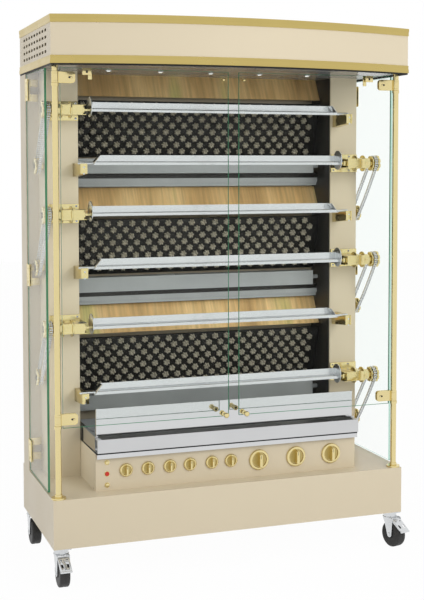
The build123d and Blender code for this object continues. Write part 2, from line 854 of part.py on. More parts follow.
# Gearmotors inside the columns, one for each spit
with BuildPart() as gearmotors:
    for drive, z in zip(spit_drive_sides, spit_heights):
        motor_z = z - motor_drop
        box_inner = motor_face_x - motor_gearbox_length
        motor_front = motor_depth - motor_size / 2
        motor_bottom = motor_z - motor_size / 2
        side_block(drive, box_inner, motor_face_x, motor_front, motor_bottom, motor_size, motor_size)
        span_x(drive, motor_face_x - motor_length, box_inner, motor_depth, motor_z, motor_can_radius)
        bore_inner = motor_face_x - motor_bore_depth
        bore_radius = motor_shaft_radius + fit
        span_x(drive, bore_inner, motor_face_x, motor_depth, motor_z, bore_radius, mode=Mode.SUBTRACT)
finish(gearmotors, "gearmotors")

# Roller chains: two loops of side plates per drive, joined by rollers on the straight runs
run_y = motor_depth - spit_depth
centre_distance = hypot(run_y, motor_drop)
run_angle = atan2(-motor_drop, run_y)
wrap_angle = acos((spit_pitch_radius - motor_pitch_radius) / centre_distance)
run_length = centre_distance * sin(wrap_angle)
half_plate = chain_plate_height / 2
plate_start = sprocket_thickness / 2 + chain_plate_gap
chain_thickness = 2 * (plate_start + chain_plate)
first_roller = 3 * chain_pitch
run_rollers = int((run_length - 2 * first_roller) / chain_pitch) + 1


def chain_loop(start, z, grow, thickness, mode):
    """A band round both sprockets, grown from their pitch circles."""
    with BuildSketch(side_plane(start, spit_depth, z)) as loop:
        Circle(spit_pitch_radius + grow)
        with Locations((run_y, -motor_drop)):
            Circle(motor_pitch_radius + grow)
        make_hull()
    extrude(loop.sketch, amount=thickness, mode=mode)


with BuildPart() as drive_chains:
    for drive, z in zip(spit_drive_sides, spit_heights):
        with BuildPart(mode=Mode.PRIVATE) as one_chain:
            chain_start = drive * sprocket_x - chain_thickness / 2
            chain_loop(chain_start, z, half_plate, chain_thickness, Mode.ADD)
            chain_loop(chain_start, z, -half_plate, chain_thickness, Mode.SUBTRACT)
            gap_start = chain_start + chain_plate
            gap_thickness = chain_thickness - 2 * chain_plate
            chain_loop(gap_start, z, chain_plate_height, gap_thickness, Mode.SUBTRACT)
            with BuildSketch(side_plane(gap_start, spit_depth, z)) as rollers:
                for turn in (wrap_angle, -wrap_angle):
                    tangent = run_angle + turn
                    start_y = spit_pitch_radius * cos(tangent)
                    start_z = spit_pitch_radius * sin(tangent)
                    end_y = run_y + motor_pitch_radius * cos(tangent)
                    end_z = -motor_drop + motor_pitch_radius * sin(tangent)
                    for roller in range(run_rollers):
                        share = (first_roller + roller * chain_pitch) / run_length
                        roller_y = start_y + share * (end_y - start_y)
                        roller_z = start_z + share * (end_z - start_z)
                        with Locations((roller_y, roller_z)):
                            Circle(roller_radius)
            extrude(rollers.sketch, amount=gap_thickness)
        add(one_chain.part)
finish(drive_chains, "drive_chains")

# Brass bearing blocks and end rests, bolted to the fronts of the columns
groove_inner_x, groove_outer_x, groove_depth = bearing_groove
with BuildPart() as spit_bearings:
    for drive, z in zip(spit_drive_sides, spit_heights):
        block_size = (column_front - bearing_front_depth, 2 * bearing_half_height)
        block_z = z - bearing_half_height
        side_block(
            drive,
            bearing_inner_x,
            bearing_outer_x,
            bearing_front_depth,
            block_z,
            *block_size,
        )
        groove_size = (groove_depth, 2 * bearing_half_height)
        groove_span = (groove_inner_x, groove_outer_x)
        side_block(drive, *groove_span, bearing_front_depth, block_z, *groove_size, mode=Mode.SUBTRACT)
        plate_depth = column_front - bearing_plate
        plate_z = z - bearing_plate_height / 2
        plate_size = (bearing_plate, bearing_plate_height)
        side_block(drive, bearing_inner_x, column_outer_x, plate_depth, plate_z, *plate_size)
        span_x(drive, groove_inner_x, neck_outer_x, spit_depth, z, neck_radius)
        for flange_x in bearing_flange_xs:
            span_x(drive, flange_x, flange_x + bearing_flange, spit_depth, z, bearing_flange_radius)
        span_x(
            drive,
            bearing_inner_x,
            spindle_inner_x,
            spit_depth,
            z,
            socket_radius,
            mode=Mode.SUBTRACT,
        )
        mouth_z = z - mouth_half_height
        mouth_size = (spit_depth - bearing_front_depth, 2 * mouth_half_height)
        mouth_outer_x = bearing_inner_x + mouth_length
        mouth_span = (bearing_inner_x, mouth_outer_x)
        side_block(drive, *mouth_span, bearing_front_depth, mouth_z, *mouth_size, mode=Mode.SUBTRACT)
        bore = spindle_radius + fit
        span_x(drive, spindle_inner_x, neck_outer_x, spit_depth, z, bore, mode=Mode.SUBTRACT)

        rest_shape = side_profile(
            (
                (rest_front_depth, z),
                (column_front, z),
                (column_front, z - rest_root_height),
                (rest_front_depth, z - rest_height),
            )
        )
        rest_inner_x = rest_inner_left if drive > 0 else rest_inner_right
        rest_outer_x = rest_inner_x + rest_width
        rest_start = min(-drive * rest_inner_x, -drive * rest_outer_x)
        with BuildSketch(side_plane(rest_start)) as rest:
            Polygon(*rest_shape, align=None)
        extrude(rest.sketch, amount=rest_width)
        notch = spit_rod_radius + fit
        span_x(-drive, rest_inner_x, rest_outer_x, spit_depth, z, notch, mode=Mode.SUBTRACT)
finish(spit_bearings, "spit_bearings")

# Casters: where each stands and which way its wheel trails
caster_x = body_width / 2 - caster_inset
caster_places = (
    ("front_left", -caster_x, caster_inset, front_left_turn),
    ("front_right", caster_x, caster_inset, front_right_turn),
    ("rear_left", -caster_x, base_depth - caster_inset, rear_left_turn),
    ("rear_right", caster_x, base_depth - caster_inset, rear_right_turn),
)
crown_top = fork_crown_height + fork_crown_thickness
raceway_bottom = crown_top + clearance
plate_bottom = caster_height - mount_plate_thickness
leg_inner = wheel_width / 2 + fork_leg_gap
crown_reach = pedal_pivot_out - pedal_ear_radius - 2 * clearance
wheel_axis = Plane(origin=(caster_trail, 0, wheel_radius), x_dir=(1, 0, 0), z_dir=(0, -1, 0))

with BuildPart() as caster_mounts:
    for name, x, depth, turn in caster_places:
        plate_front_depth = depth - mount_plate_size / 2
        plate_size = (mount_plate_size, mount_plate_size, mount_plate_thickness)
        block(x, plate_front_depth, plate_bottom, *plate_size)
        rod_z(x, depth, raceway_bottom, raceway_radius, plate_bottom - raceway_bottom)
        head_bottom = fork_crown_height - clearance - kingpin_head_height
        rod_z(x, depth, head_bottom, kingpin_radius, plate_bottom - head_bottom)
        rod_z(x, depth, head_bottom, kingpin_head_radius, kingpin_head_height)
finish(caster_mounts, "caster_mounts")

# Fork, wheel and pedal drawn once, with the wheel trailing along +X of their own frame
with BuildPart() as fork_shape:
    with BuildSketch(Plane.XY.offset(fork_crown_height)):
        Circle(fork_crown_radius)
        with Locations((crown_reach / 2, 0)):
            Rectangle(crown_reach, 2 * (leg_inner + fork_plate))
    extrude(amount=fork_crown_thickness)
    for start in (leg_inner, -leg_inner - fork_plate):
        with BuildSketch(Plane(origin=(0, -start, 0), x_dir=(1, 0, 0), z_dir=(0, -1, 0))):
            with Locations((caster_trail, wheel_radius)):
                Circle(fork_foot_radius)
            with Locations((0, fork_crown_height + fork_crown_thickness / 2)):
                Rectangle(fork_crown_radius, fork_crown_thickness)
            with Locations((pedal_pivot_out, pedal_pivot_height)):
                Circle(pedal_ear_radius)
            make_hull()
            with Locations((pedal_pivot_out, pedal_pivot_height)):
                Circle(pedal_pin_radius + fit, mode=Mode.SUBTRACT)
        extrude(amount=fork_plate)
    with BuildSketch(wheel_axis.offset(-leg_inner)):
        Circle(axle_radius)
    extrude(amount=2 * leg_inner)
    with BuildSketch(Plane.XY.offset(fork_crown_height)):
        Circle(kingpin_radius + fit)
    extrude(amount=fork_crown_thickness, mode=Mode.SUBTRACT)

tread_half = wheel_width / 2
hub_half = leg_inner - clearance
with BuildPart() as wheel_shape:
    with BuildSketch(wheel_axis.offset(-tread_half)):
        Circle(wheel_radius)
    extrude(amount=wheel_width)
    fillet(wheel_shape.edges(), wheel_width / 7)
    with BuildSketch(wheel_axis.offset(-hub_half)):
        Circle(wheel_hub_radius)
    extrude(amount=2 * hub_half)
    with BuildSketch(wheel_axis.offset(-hub_half)):
        Circle(axle_radius + fit)
    extrude(amount=2 * hub_half, mode=Mode.SUBTRACT)

# Brake pedal: a sloping plate on a pin through the fork, with two slots and a toe bar
pedal_run = pedal_tip_out - pedal_pivot_out
pedal_fall = pedal_pivot_height - pedal_tip_height
pedal_slope = degrees(atan2(pedal_fall, pedal_run))
pedal_length = hypot(pedal_run, pedal_fall)
pedal_half = leg_inner - clearance
pivot_plane = Plane(origin=(pedal_pivot_out, 0, pedal_pivot_height), x_dir=(1, 0, 0), z_dir=(0, -1, 0))
slope_x = cos(radians(pedal_slope))
slope_z = -sin(radians(pedal_slope))
pedal_plane = Plane(
    origin=(pedal_pivot_out, 0, pedal_pivot_height),
    x_dir=(slope_x, 0, slope_z),
    z_dir=(-slope_z, 0, slope_x),
)
toe_plane = Plane(origin=(pedal_tip_out, 0, pedal_tip_height), x_dir=(1, 0, 0), z_dir=(0, -1, 0))
pin_half = leg_inner + fork_plate
with BuildPart() as pedal_shape:
    with BuildSketch(pedal_plane):
        with Locations((pedal_length / 2, 0)):
            Rectangle(pedal_length, 2 * pedal_half)
        with Locations((pedal_length / 2, pedal_half / 2), (pedal_length / 2, -pedal_half / 2)):
            SlotOverall(pedal_length / 3, pedal_half / 3, mode=Mode.SUBTRACT)
    extrude(amount=pedal_steel)
    with BuildSketch(pivot_plane.offset(-pin_half)):
        Circle(pedal_pin_radius)
    extrude(amount=2 * pin_half)
    with BuildSketch(toe_plane.offset(-pedal_bar_width / 2)):
        Circle(pedal_bar_radius)
    extrude(amount=pedal_bar_width)

for name, x, depth, turn in caster_places:
    place = Location((x, front(depth), 0), (0, 0, turn))
    with BuildPart() as caster_fork:
        with Locations(place):
            add(fork_shape.part)
    finish(caster_fork, "caster_fork_" + name)
    with BuildPart() as caster_wheel:
        with Locations(place):
            add(wheel_shape.part)
    finish(caster_wheel, "caster_wheel_" + name)

# Only the two front casters have brakes
for name, x, depth, turn in caster_places[:2]:
    with BuildPart() as brake_pedal:
        with Locations(Location((x, front(depth), 0), (0, 0, turn))):
            add(pedal_shape.part)
    finish(brake_pedal, "brake_pedal_" + name)
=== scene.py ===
import json
from math import acos, atan2, cos, degrees, hypot, pi, radians, sin

import bmesh
import bpy
from mathutils import Matrix, Vector


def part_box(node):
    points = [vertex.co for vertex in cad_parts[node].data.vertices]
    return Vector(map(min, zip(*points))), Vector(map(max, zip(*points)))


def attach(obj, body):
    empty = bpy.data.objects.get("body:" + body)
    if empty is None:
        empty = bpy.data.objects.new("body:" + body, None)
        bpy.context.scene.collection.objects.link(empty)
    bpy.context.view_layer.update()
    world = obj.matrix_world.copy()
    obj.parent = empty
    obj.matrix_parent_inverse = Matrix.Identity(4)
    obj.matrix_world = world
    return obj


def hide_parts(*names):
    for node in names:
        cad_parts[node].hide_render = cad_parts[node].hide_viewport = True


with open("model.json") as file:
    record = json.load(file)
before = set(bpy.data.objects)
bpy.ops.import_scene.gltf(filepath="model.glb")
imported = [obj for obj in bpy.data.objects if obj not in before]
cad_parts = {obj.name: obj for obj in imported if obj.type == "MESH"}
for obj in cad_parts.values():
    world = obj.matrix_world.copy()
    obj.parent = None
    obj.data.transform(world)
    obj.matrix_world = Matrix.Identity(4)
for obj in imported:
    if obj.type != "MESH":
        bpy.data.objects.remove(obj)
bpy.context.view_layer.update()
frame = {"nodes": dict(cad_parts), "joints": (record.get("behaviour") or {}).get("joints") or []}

# Sizes are in millimetres, as in the CAD frame: +X right, +Z up, depths from the base's front face.
MM = 0.001
FRONT_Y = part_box("base_plinth")[0].y / MM
JOINTS = {joint["name"]: joint for joint in frame["joints"]}


def at(depth):
    """The Y of a depth."""
    return FRONT_Y + depth


def joint_place(name):
    """Where a joint's axis passes."""
    return Vector(JOINTS[name]["pos_m"]) / MM


def node_box(node):
    """The lower and upper corner of a CAD node."""
    return [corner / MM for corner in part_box(node)]


def node_middle(node):
    """The middle of a CAD node as (x, z), seen from the front."""
    low, high = node_box(node)
    return (low.x + high.x) / 2, (low.z + high.z) / 2


# Shader building

class Finish:
    """One material around a Principled shader, with short calls for its procedural detail."""

    def __init__(self, name, color, metallic=0.0, roughness=0.5, **more):
        self.material = bpy.data.materials.new(name)
        self.material.use_nodes = True
        self.tree = self.material.node_tree
        self.shader = self.tree.nodes["Principled BSDF"]
        self.put("Base Color", (*color, 1.0))
        self.put("Metallic", metallic)
        self.put("Roughness", roughness)
        for socket, value in more.items():
            self.put(socket.replace("_", " "), value)

    def put(self, socket, value):
        self.shader.inputs[socket].default_value = value

    def node(self, kind, **settings):
        made = self.tree.nodes.new(kind)
        for key, value in settings.items():
            setattr(made, key, value)
        return made

    def group(self, tree, **values):
        made = self.node("ShaderNodeGroup")
        made.node_tree = tree
        for key, value in values.items():
            made.inputs[key.replace("_", " ")].default_value = value
        return made

    def join(self, output, target):
        self.tree.links.new(output, target)

    def feed(self, output, socket):
        self.join(output, self.shader.inputs[socket])

    def relief(self, output, strength, distance):
        bump = self.node("ShaderNodeBump")
        bump.inputs["Strength"].default_value = strength
        bump.inputs["Distance"].default_value = distance
        self.join(output, bump.inputs["Height"])
        self.feed(bump.outputs["Normal"], "Normal")


def new_group(name, inputs, outputs):
    """An empty shader group with its sockets, and its two end nodes."""
    tree = bpy.data.node_groups.new(name, "ShaderNodeTree")
    for label, kind, value in inputs:
        socket = tree.interface.new_socket(name=label, in_out="INPUT", socket_type=kind)
        socket.default_value = value
    for label, kind in outputs:
        tree.interface.new_socket(name=label, in_out="OUTPUT", socket_type=kind)
    start = tree.nodes.new("NodeGroupInput")
    end = tree.nodes.new("NodeGroupOutput")
    return tree, start, end


FLOAT = "NodeSocketFloat"
COLOR = "NodeSocketColor"
VECTOR = "NodeSocketVector"


def spread_noise(tree, start, detail, usual, ends):
    """Noise whose usual range is spread between two of the group's inputs."""
    noise = tree.nodes.new("ShaderNodeTexNoise")
    noise.inputs["Detail"].default_value = detail
    spread = tree.nodes.new("ShaderNodeMapRange")
    spread.inputs["From Min"].default_value, spread.inputs["From Max"].default_value = usual
    tree.links.new(noise.outputs["Fac"], spread.inputs["Value"])
    tree.links.new(start.outputs[ends[0]], spread.inputs["To Min"])
    tree.links.new(start.outputs[ends[1]], spread.inputs["To Max"])
    return noise, spread


def streak_group():
    """Fine lines along the direction whose density is lowest, as a shade and a height."""
    tree, start, end = new_group(
        "rolled streaks",
        [("Density", VECTOR, (1, 1, 1)), ("Dark", FLOAT, 0.8), ("Light", FLOAT, 1.0)],
        [("Shade", FLOAT), ("Height", FLOAT)],
    )
    place = tree.nodes.new("ShaderNodeTexCoord")
    stretch = tree.nodes.new("ShaderNodeVectorMath")
    stretch.operation = "MULTIPLY"
    noise, spread = spread_noise(tree, start, 3.0, (0.3, 0.7), ("Dark", "Light"))
    noise.inputs["Scale"].default_value = 1.0
    tree.links.new(place.outputs["Object"], stretch.inputs[0])
    tree.links.new(start.outputs["Density"], stretch.inputs[1])
    tree.links.new(stretch.outputs[0], noise.inputs["Vector"])
    tree.links.new(spread.outputs["Result"], end.inputs["Shade"])
    tree.links.new(noise.outputs["Fac"], end.inputs["Height"])
    return tree


def cloud_group():
    """Soft clouds between two values, for smudges, polish and drifting tone."""
    tree, start, end = new_group(
        "polish clouds",
        [("Scale", FLOAT, 5.0), ("Low", FLOAT, 0.2), ("High", FLOAT, 0.3)],
        [("Value", FLOAT), ("Mask", FLOAT)],
    )
    place = tree.nodes.new("ShaderNodeTexCoord")
    noise, spread = spread_noise(tree, start, 4.0, (0.32, 0.68), ("Low", "High"))
    tree.links.new(place.outputs["Object"], noise.inputs["Vector"])
    tree.links.new(start.outputs["Scale"], noise.inputs["Scale"])
    tree.links.new(spread.outputs["Result"], end.inputs["Value"])
    tree.links.new(noise.outputs["Fac"], end.inputs["Mask"])
    return tree


def tone_group():
    """Two colours of one finish, mixed by soft clouds."""
    tree, start, end = new_group(
        "drifting tone",
        [("First", COLOR, (1, 1, 1, 1)), ("Second", COLOR, (1, 1, 1, 1)), ("Scale", FLOAT, 4.0)],
        [("Color", COLOR)],
    )
    place = tree.nodes.new("ShaderNodeTexCoord")
    noise = tree.nodes.new("ShaderNodeTexNoise")
    noise.inputs["Detail"].default_value = 5.0
    mix = tree.nodes.new("ShaderNodeMix")
    mix.data_type = "RGBA"
    tree.links.new(place.outputs["Object"], noise.inputs["Vector"])
    tree.links.new(start.outputs["Scale"], noise.inputs["Scale"])
    tree.links.new(noise.outputs["Fac"], mix.inputs["Factor"])
    tree.links.new(start.outputs["First"], mix.inputs["A"])
    tree.links.new(start.outputs["Second"], mix.inputs["B"])
    tree.links.new(mix.outputs["Result"], end.inputs["Color"])
    return tree


STREAKS = streak_group()
CLOUDS = cloud_group()
TONE = tone_group()


def toned(finish, first, second, scale):
    """Gives a finish its two drifting colours."""
    tone = finish.group(TONE, First=(*first, 1), Second=(*second, 1), Scale=scale)
    finish.feed(tone.outputs["Color"], "Base Color")


def clouded(finish, scale, low, high):
    """Gives a finish a roughness that drifts between two values."""
    cloud = finish.group(CLOUDS, Scale=scale, Low=low, High=high)
    finish.feed(cloud.outputs["Value"], "Roughness")


def paint(name, first, second, grain, rough=(0.3, 0.4), tone_scale=3.0):
    """Baked enamel on sheet steel, with a faint orange peel."""
    made = Finish(name, first, roughness=0.35, Specular_IOR_Level=0.4)
    toned(made, first, second, tone_scale)
    clouded(made, 4.0, *rough)
    peel = made.group(CLOUDS, Scale=grain, Low=0.0, High=1.0)
    made.relief(peel.outputs["Mask"], 0.06, 0.0006)
    return made.material


def metal(name, first, second, density, rough, line_relief=0.04, tone_scale=6.0):
    """Rolled or polished metal: drifting tone, clouded polish and fine lines."""
    made = Finish(name, first, metallic=1.0, roughness=rough[0])
    toned(made, first, second, tone_scale)
    clouded(made, 9.0, *rough)
    lines = made.group(STREAKS, Density=density, Dark=0.0, Light=1.0)
    made.relief(lines.outputs["Height"], line_relief, 0.0004)
    return made.material


def hood_finish():
    """Steel sheet that the burners have tinted: copper, gold and a little green in upright patches."""
    made = Finish("heat tinted sheet", (0.5, 0.33, 0.15), metallic=0.2, roughness=0.38)
    wide = made.group(STREAKS, Density=(6.0, 1.0, 1.2), Dark=0.0, Light=1.0)
    ramp = made.node("ShaderNodeValToRGB")
    stops = ramp.color_ramp.elements
    stops[0].position, stops[0].color = 0.0, (0.52, 0.32, 0.13, 1)
    stops[1].position, stops[1].color = 1.0, (0.55, 0.54, 0.20, 1)
    copper, gold, olive = (0.72, 0.47, 0.20, 1), (0.90, 0.64, 0.30, 1), (0.74, 0.60, 0.24, 1)
    for place, color in ((0.3, copper), (0.62, gold), (0.8, olive)):
        stop = stops.new(place)
        stop.color = color
    made.join(wide.outputs["Shade"], ramp.inputs["Fac"])
    fine = made.group(STREAKS, Density=(90.0, 4.0, 5.0), Dark=0.78, Light=1.12)
    shade = made.node("ShaderNodeMix", data_type="RGBA", blend_type="MULTIPLY")
    shade.inputs["Factor"].default_value = 1.0
    made.join(ramp.outputs["Color"], shade.inputs["A"])
    made.join(fine.outputs["Shade"], shade.inputs["B"])
    made.feed(shade.outputs["Result"], "Base Color")
    clouded(made, 7.0, 0.3, 0.45)
    made.relief(fine.outputs["Height"], 0.05, 0.0005)
    return made.material


PANE_IOR = 1.08
PANE_SHADOW = 0.05
PANE_SMEAR = 0.015


def clear_pane(name, color, roughness):
    """Toughened glass that lets the lamps' light through and bends it little, as a thin pane does."""
    made = Finish(name, color, roughness=roughness, Transmission_Weight=1.0, IOR=PANE_IOR)
    rays = made.node("ShaderNodeLightPath")
    open_to_light = made.node("ShaderNodeMapRange")
    open_to_light.inputs["To Min"].default_value = 1.0
    open_to_light.inputs["To Max"].default_value = PANE_SHADOW
    made.join(rays.outputs["Is Shadow Ray"], open_to_light.inputs["Value"])
    made.feed(open_to_light.outputs["Result"], "Alpha")
    clouded(made, 3.0, roughness, roughness + PANE_SMEAR)
    return made.material


BEIGE = paint("beige enamel", (0.66, 0.575, 0.42), (0.64, 0.555, 0.405), 900.0)
BRASS = metal("polished brass", (0.80, 0.68, 0.36), (0.74, 0.62, 0.31), (60, 60, 300), (0.14, 0.24))
# darker brass: painted shade for the floor of the knobs' dished recess
SHADED_BRASS = metal("brass darkened as painted shade", (0.52, 0.41, 0.16), (0.44, 0.34, 0.13), (60, 60, 300), (0.3, 0.4))
TRIM = metal("satin brass trim", (0.60, 0.47, 0.17), (0.55, 0.43, 0.15), (3, 3, 700), (0.26, 0.36))
MIRROR = metal(
    "mirror stainless", (0.66, 0.665, 0.67), (0.62, 0.63, 0.635), (2, 2, 500), (0.05, 0.1), 0.015,
)
STAINLESS = metal("brushed stainless", (0.72, 0.73, 0.735), (0.66, 0.67, 0.68), (2, 500, 500), (0.16, 0.26))
BURNER = paint("burner sheet", (0.44, 0.46, 0.455), (0.34, 0.355, 0.35), 300.0, (0.16, 0.28), 9.0)
SATIN = metal("satin stainless", (0.66, 0.665, 0.67), (0.61, 0.615, 0.62), (2, 300, 500), (0.3, 0.38), 0.02)
HOOD = hood_finish()
CEILING = paint("grey ceiling sheet", (0.28, 0.285, 0.28), (0.34, 0.345, 0.34), 300.0, (0.16, 0.26))
# near-black sheets that paint the shade on the chamber's inner walls and in the burner slots
PAINTED_SHADE = paint("near-black painted shade", (0.022, 0.021, 0.019), (0.035, 0.033, 0.029), 200.0, (0.3, 0.45))
ZINC = metal("bright zinc", (0.74, 0.75, 0.76), (0.64, 0.66, 0.67), (80, 80, 80), (0.2, 0.34))
CHAIN = metal("chain steel", (0.80, 0.81, 0.82), (0.68, 0.69, 0.71), (90, 90, 90), (0.2, 0.32))
MOTOR = paint("motor grey", (0.055, 0.058, 0.06), (0.07, 0.072, 0.075), 500.0)
CAST = paint("blackened iron", (0.010, 0.010, 0.009), (0.02, 0.019, 0.016), 160.0, (0.55, 0.75))
STUD = paint("khaki castings", (0.10, 0.09, 0.065), (0.70, 0.64, 0.50), 260.0, (0.25, 0.4), 130.0)
RUBBER = paint("black tyre", (0.022, 0.022, 0.022), (0.035, 0.034, 0.033), 420.0, (0.45, 0.65))
# black for seals, marks and discs; in screw heads, slots and dimples it is painted shade for their recesses
BLACK_AND_RECESS_SHADE = paint("black seals and painted recess shade", (0.006, 0.006, 0.006), (0.012, 0.012, 0.012), 600.0, (0.5, 0.7))
LAMP = paint("red lens", (0.62, 0.03, 0.012), (0.50, 0.02, 0.01), 90.0, (0.12, 0.2))
FROST = paint("frosted lens", (0.85, 0.84, 0.80), (0.80, 0.79, 0.75), 120.0, (0.4, 0.6))
LENS = FROST.node_tree.nodes["Principled BSDF"].inputs
LENS["Emission Color"].default_value = (1.0, 0.97, 0.9, 1)
LENS["Emission Strength"].default_value = 1.0
GLASS = clear_pane("clear glass", (0.975, 0.995, 0.985), 0.0)
CLEAR_EDGE = clear_pane("pale glass edge", (0.30, 0.62, 0.48), 0.08)
GLASS_EDGE = paint("green glass edge", (0.07, 0.28, 0.15), (0.06, 0.24, 0.13), 240.0, (0.1, 0.2))


# Mesh building

SHARP_EDGE = radians(30)


def shape_of(bm):
    """The points and faces of a bmesh, which is freed."""
    bm.verts.index_update()
    shape = ([v.co.copy() for v in bm.verts], [[v.index for v in face.verts] for face in bm.faces])
    bm.free()
    return shape


def ring_faces(rings, steps, closed=False):
    """Faces between rings of as many points each; closed also joins the last ring to the first."""
    faces = []
    for ring in range(rings if closed else rings - 1):
        after = (ring + 1) % rings
        for i in range(steps):
            j = (i + 1) % steps
            faces.append((ring * steps + i, ring * steps + j, after * steps + j, after * steps + i))
    return faces


def solid(points, faces, soften=0.0):
    """A closed solid; soften rounds its sharp edges."""
    bm = bmesh.new()
    verts = [bm.verts.new(p) for p in points]
    for face in faces:
        bm.faces.new([verts[i] for i in face])
    bmesh.ops.recalc_face_normals(bm, faces=bm.faces[:])
    if soften:
        sharp = [edge for edge in bm.edges if abs(edge.calc_face_angle(0.0)) > SHARP_EDGE]
        bmesh.ops.bevel(
            bm, geom=sharp, offset=soften, offset_type="OFFSET", segments=2,
            profile=0.5, affect="EDGES", clamp_overlap=True,
        )
    return shape_of(bm)


def bridged(points, soften=0.0):
    """A closed solid between two outlines of as many points, given one after the other."""
    count = len(points) // 2
    ends = [tuple(range(count)), tuple(range(count, 2 * count))]
    return solid(points, ends + ring_faces(2, count), soften)


AXES = {
    "x": lambda u, v, w: (w, u, v),
    "y": lambda u, v, w: (u, w, v),
    "z": lambda u, v, w: (u, v, w),
}


def prism(outline, start, length, axis, soften=0.0):
    """A flat outline pulled along an axis: (y, z) for x, (x, z) for y and (x, y) for z."""
    turn = AXES[axis]
    return bridged([turn(u, v, w) for w in (start, start + length) for u, v in outline], soften)


def block(x, depth, z, width, length, height, soften=0.6):
    """A box centred on x, with its front at depth and its underside at z."""
    low, high = x - width / 2, x + width / 2
    outline = [(low, z), (high, z), (high, z + height), (low, z + height)]
    return prism(outline, at(depth), length, "y", soften)


def span(side, inner, outer, depth, z, length, height, soften=0.6):
    """A box between two distances from the middle, on one side."""
    return block(side * (inner + outer) / 2, depth, z, outer - inner, length, height, soften)


def turned(profile, centre, axis, steps=32, bored=False):
    """A profile of (distance along the axis, radius) turned about it; a bored one closes on itself."""
    turn = AXES[axis]
    points = []
    for along, radius in profile:
        for i in range(steps):
            angle = 2 * pi * i / steps
            points.append(Vector(turn(radius * cos(angle), radius * sin(angle), along)) + Vector(centre))
    faces = ring_faces(len(profile), steps, bored)
    if not bored:
        faces.append(tuple(range(steps)))
        faces.append(tuple((len(profile) - 1) * steps + i for i in range(steps)))
    return solid(points, faces)


def turned_x(side, profile, centre, steps, bored=False):
    """A solid turned about X, whose profile gives distances from the middle, on one side."""
    return turned([(side * along, radius) for along, radius in profile], centre, "x", steps, bored)


def turned_y(profile, centre, steps):
    """A solid turned about Y, whose profile gives depths."""
    return turned([(at(along), radius) for along, radius in profile], centre, "y", steps)


def drum(centre, axis, start, length, radius, soften=0.6, steps=32):
    """A round bar with eased ends."""
    ease = min(soften, abs(length) / 2, radius / 2)
    sign = 1 if length > 0 else -1
    end = start + length
    profile = [
        (start, radius - ease), (start + sign * ease, radius),
        (end - sign * ease, radius), (end, radius - ease),
    ]
    return turned(profile, centre, axis, steps)


def arc(centre, radius, first, last, count):
    """Points on a circle, with the angles in degrees."""
    turns = [radians(first + (last - first) * i / (count - 1)) for i in range(count)]
    return [(centre[0] + radius * cos(t), centre[1] + radius * sin(t)) for t in turns]


def slot_outline(length, height, centre=(0, 0)):
    """A long hole with round ends."""
    half = (length - height) / 2
    right = arc((centre[0] + half, centre[1]), height / 2, -90, 90, 9)
    left = arc((centre[0] - half, centre[1]), height / 2, 90, 270, 9)
    return right + left


def rounded_outline(low, high, radii):
    """A rectangle with a radius for each corner, counter-clockwise from the lower left."""
    (x0, y0), (x1, y1) = low, high
    a, b, c, d = radii
    return (
        arc((x0 + a, y0 + a), a, 180, 270, 6) + arc((x1 - b, y0 + b), b, 270, 360, 6)
        + arc((x1 - c, y1 - c), c, 0, 90, 6) + arc((x0 + d, y1 - d), d, 90, 180, 6)
    )


def shown_shape(item):
    """The points and faces of an object with its curves and modifiers worked out."""
    bpy.context.view_layer.update()
    shown = item.evaluated_get(bpy.context.evaluated_depsgraph_get())
    mesh = bpy.data.meshes.new_from_object(shown)
    shape = ([v.co.copy() for v in mesh.vertices], [list(p.vertices) for p in mesh.polygons])
    bpy.data.meshes.remove(mesh)
    return shape


def cut_plate(outlines, thickness, soften=0.4):
    """A flat plate whose first outline is its rim and whose others are holes, centred on z 0."""
    curve = bpy.data.curves.new("cut plate", "CURVE")
    curve.dimensions = "2D"
    curve.fill_mode = "BOTH"
    curve.extrude = thickness / 2 - soften
    curve.bevel_depth = soften
    curve.bevel_resolution = 1
    curve.offset = -soften
    for outline in outlines:
        line = curve.splines.new("POLY")
        line.points.add(len(outline) - 1)
        for point, (u, v) in zip(line.points, outline):
            point.co = (u, v, 0, 1)
        line.use_cyclic_u = True
    holder = bpy.data.objects.new("cut plate", curve)
    bpy.context.scene.collection.objects.link(holder)
    points, faces = shown_shape(holder)
    bpy.data.objects.remove(holder)
    bpy.data.curves.remove(curve)
    bm = bmesh.new()
    verts = [bm.verts.new(p) for p in points]
    for face in faces:
        if len(set(face)) == len(face):
            try:
                bm.faces.new([verts[i] for i in face])
            except ValueError:
                pass
    bmesh.ops.remove_doubles(bm, verts=bm.verts[:], dist=1e-4)
    bmesh.ops.recalc_face_normals(bm, faces=bm.faces[:])
    return shape_of(bm)


def stand_in(shape):
    """A scratch object of a shape, for cutting with."""
    mesh = bpy.data.meshes.new("cutting")
    mesh.from_pydata([tuple(p) for p in shape[0]], [], shape[1])
    made = bpy.data.objects.new("cutting", mesh)
    bpy.context.scene.collection.objects.link(made)
    return made


def carved(shape, *cutters):
    """A shape with the cutters' space taken out of it."""
    blank = stand_in(shape)
    tools = [stand_in(cutter) for cutter in cutters]
    for tool in tools:
        cut = blank.modifiers.new("cut", "BOOLEAN")
        cut.operation = "DIFFERENCE"
        cut.solver = "EXACT"
        cut.object = tool
    result = shown_shape(blank)
    for item in (blank, *tools):
        used = item.data
        bpy.data.objects.remove(item)
        bpy.data.meshes.remove(used)
    return result


def moved(shape, place):
    """A shape moved by a matrix, or by a distance."""
    matrix = place if isinstance(place, Matrix) else Matrix.Translation(place)
    return ([matrix @ Vector(p) for p in shape[0]], shape[1])


# What is drawn flat in x and y stands square to X or to Y
UPRIGHT_X = Matrix(((0, 0, 1, 0), (1, 0, 0, 0), (0, 1, 0, 0), (0, 0, 0, 1)))
UPRIGHT_Y = Matrix(((1, 0, 0, 0), (0, 0, -1, 0), (0, 1, 0, 0), (0, 0, 0, 1)))


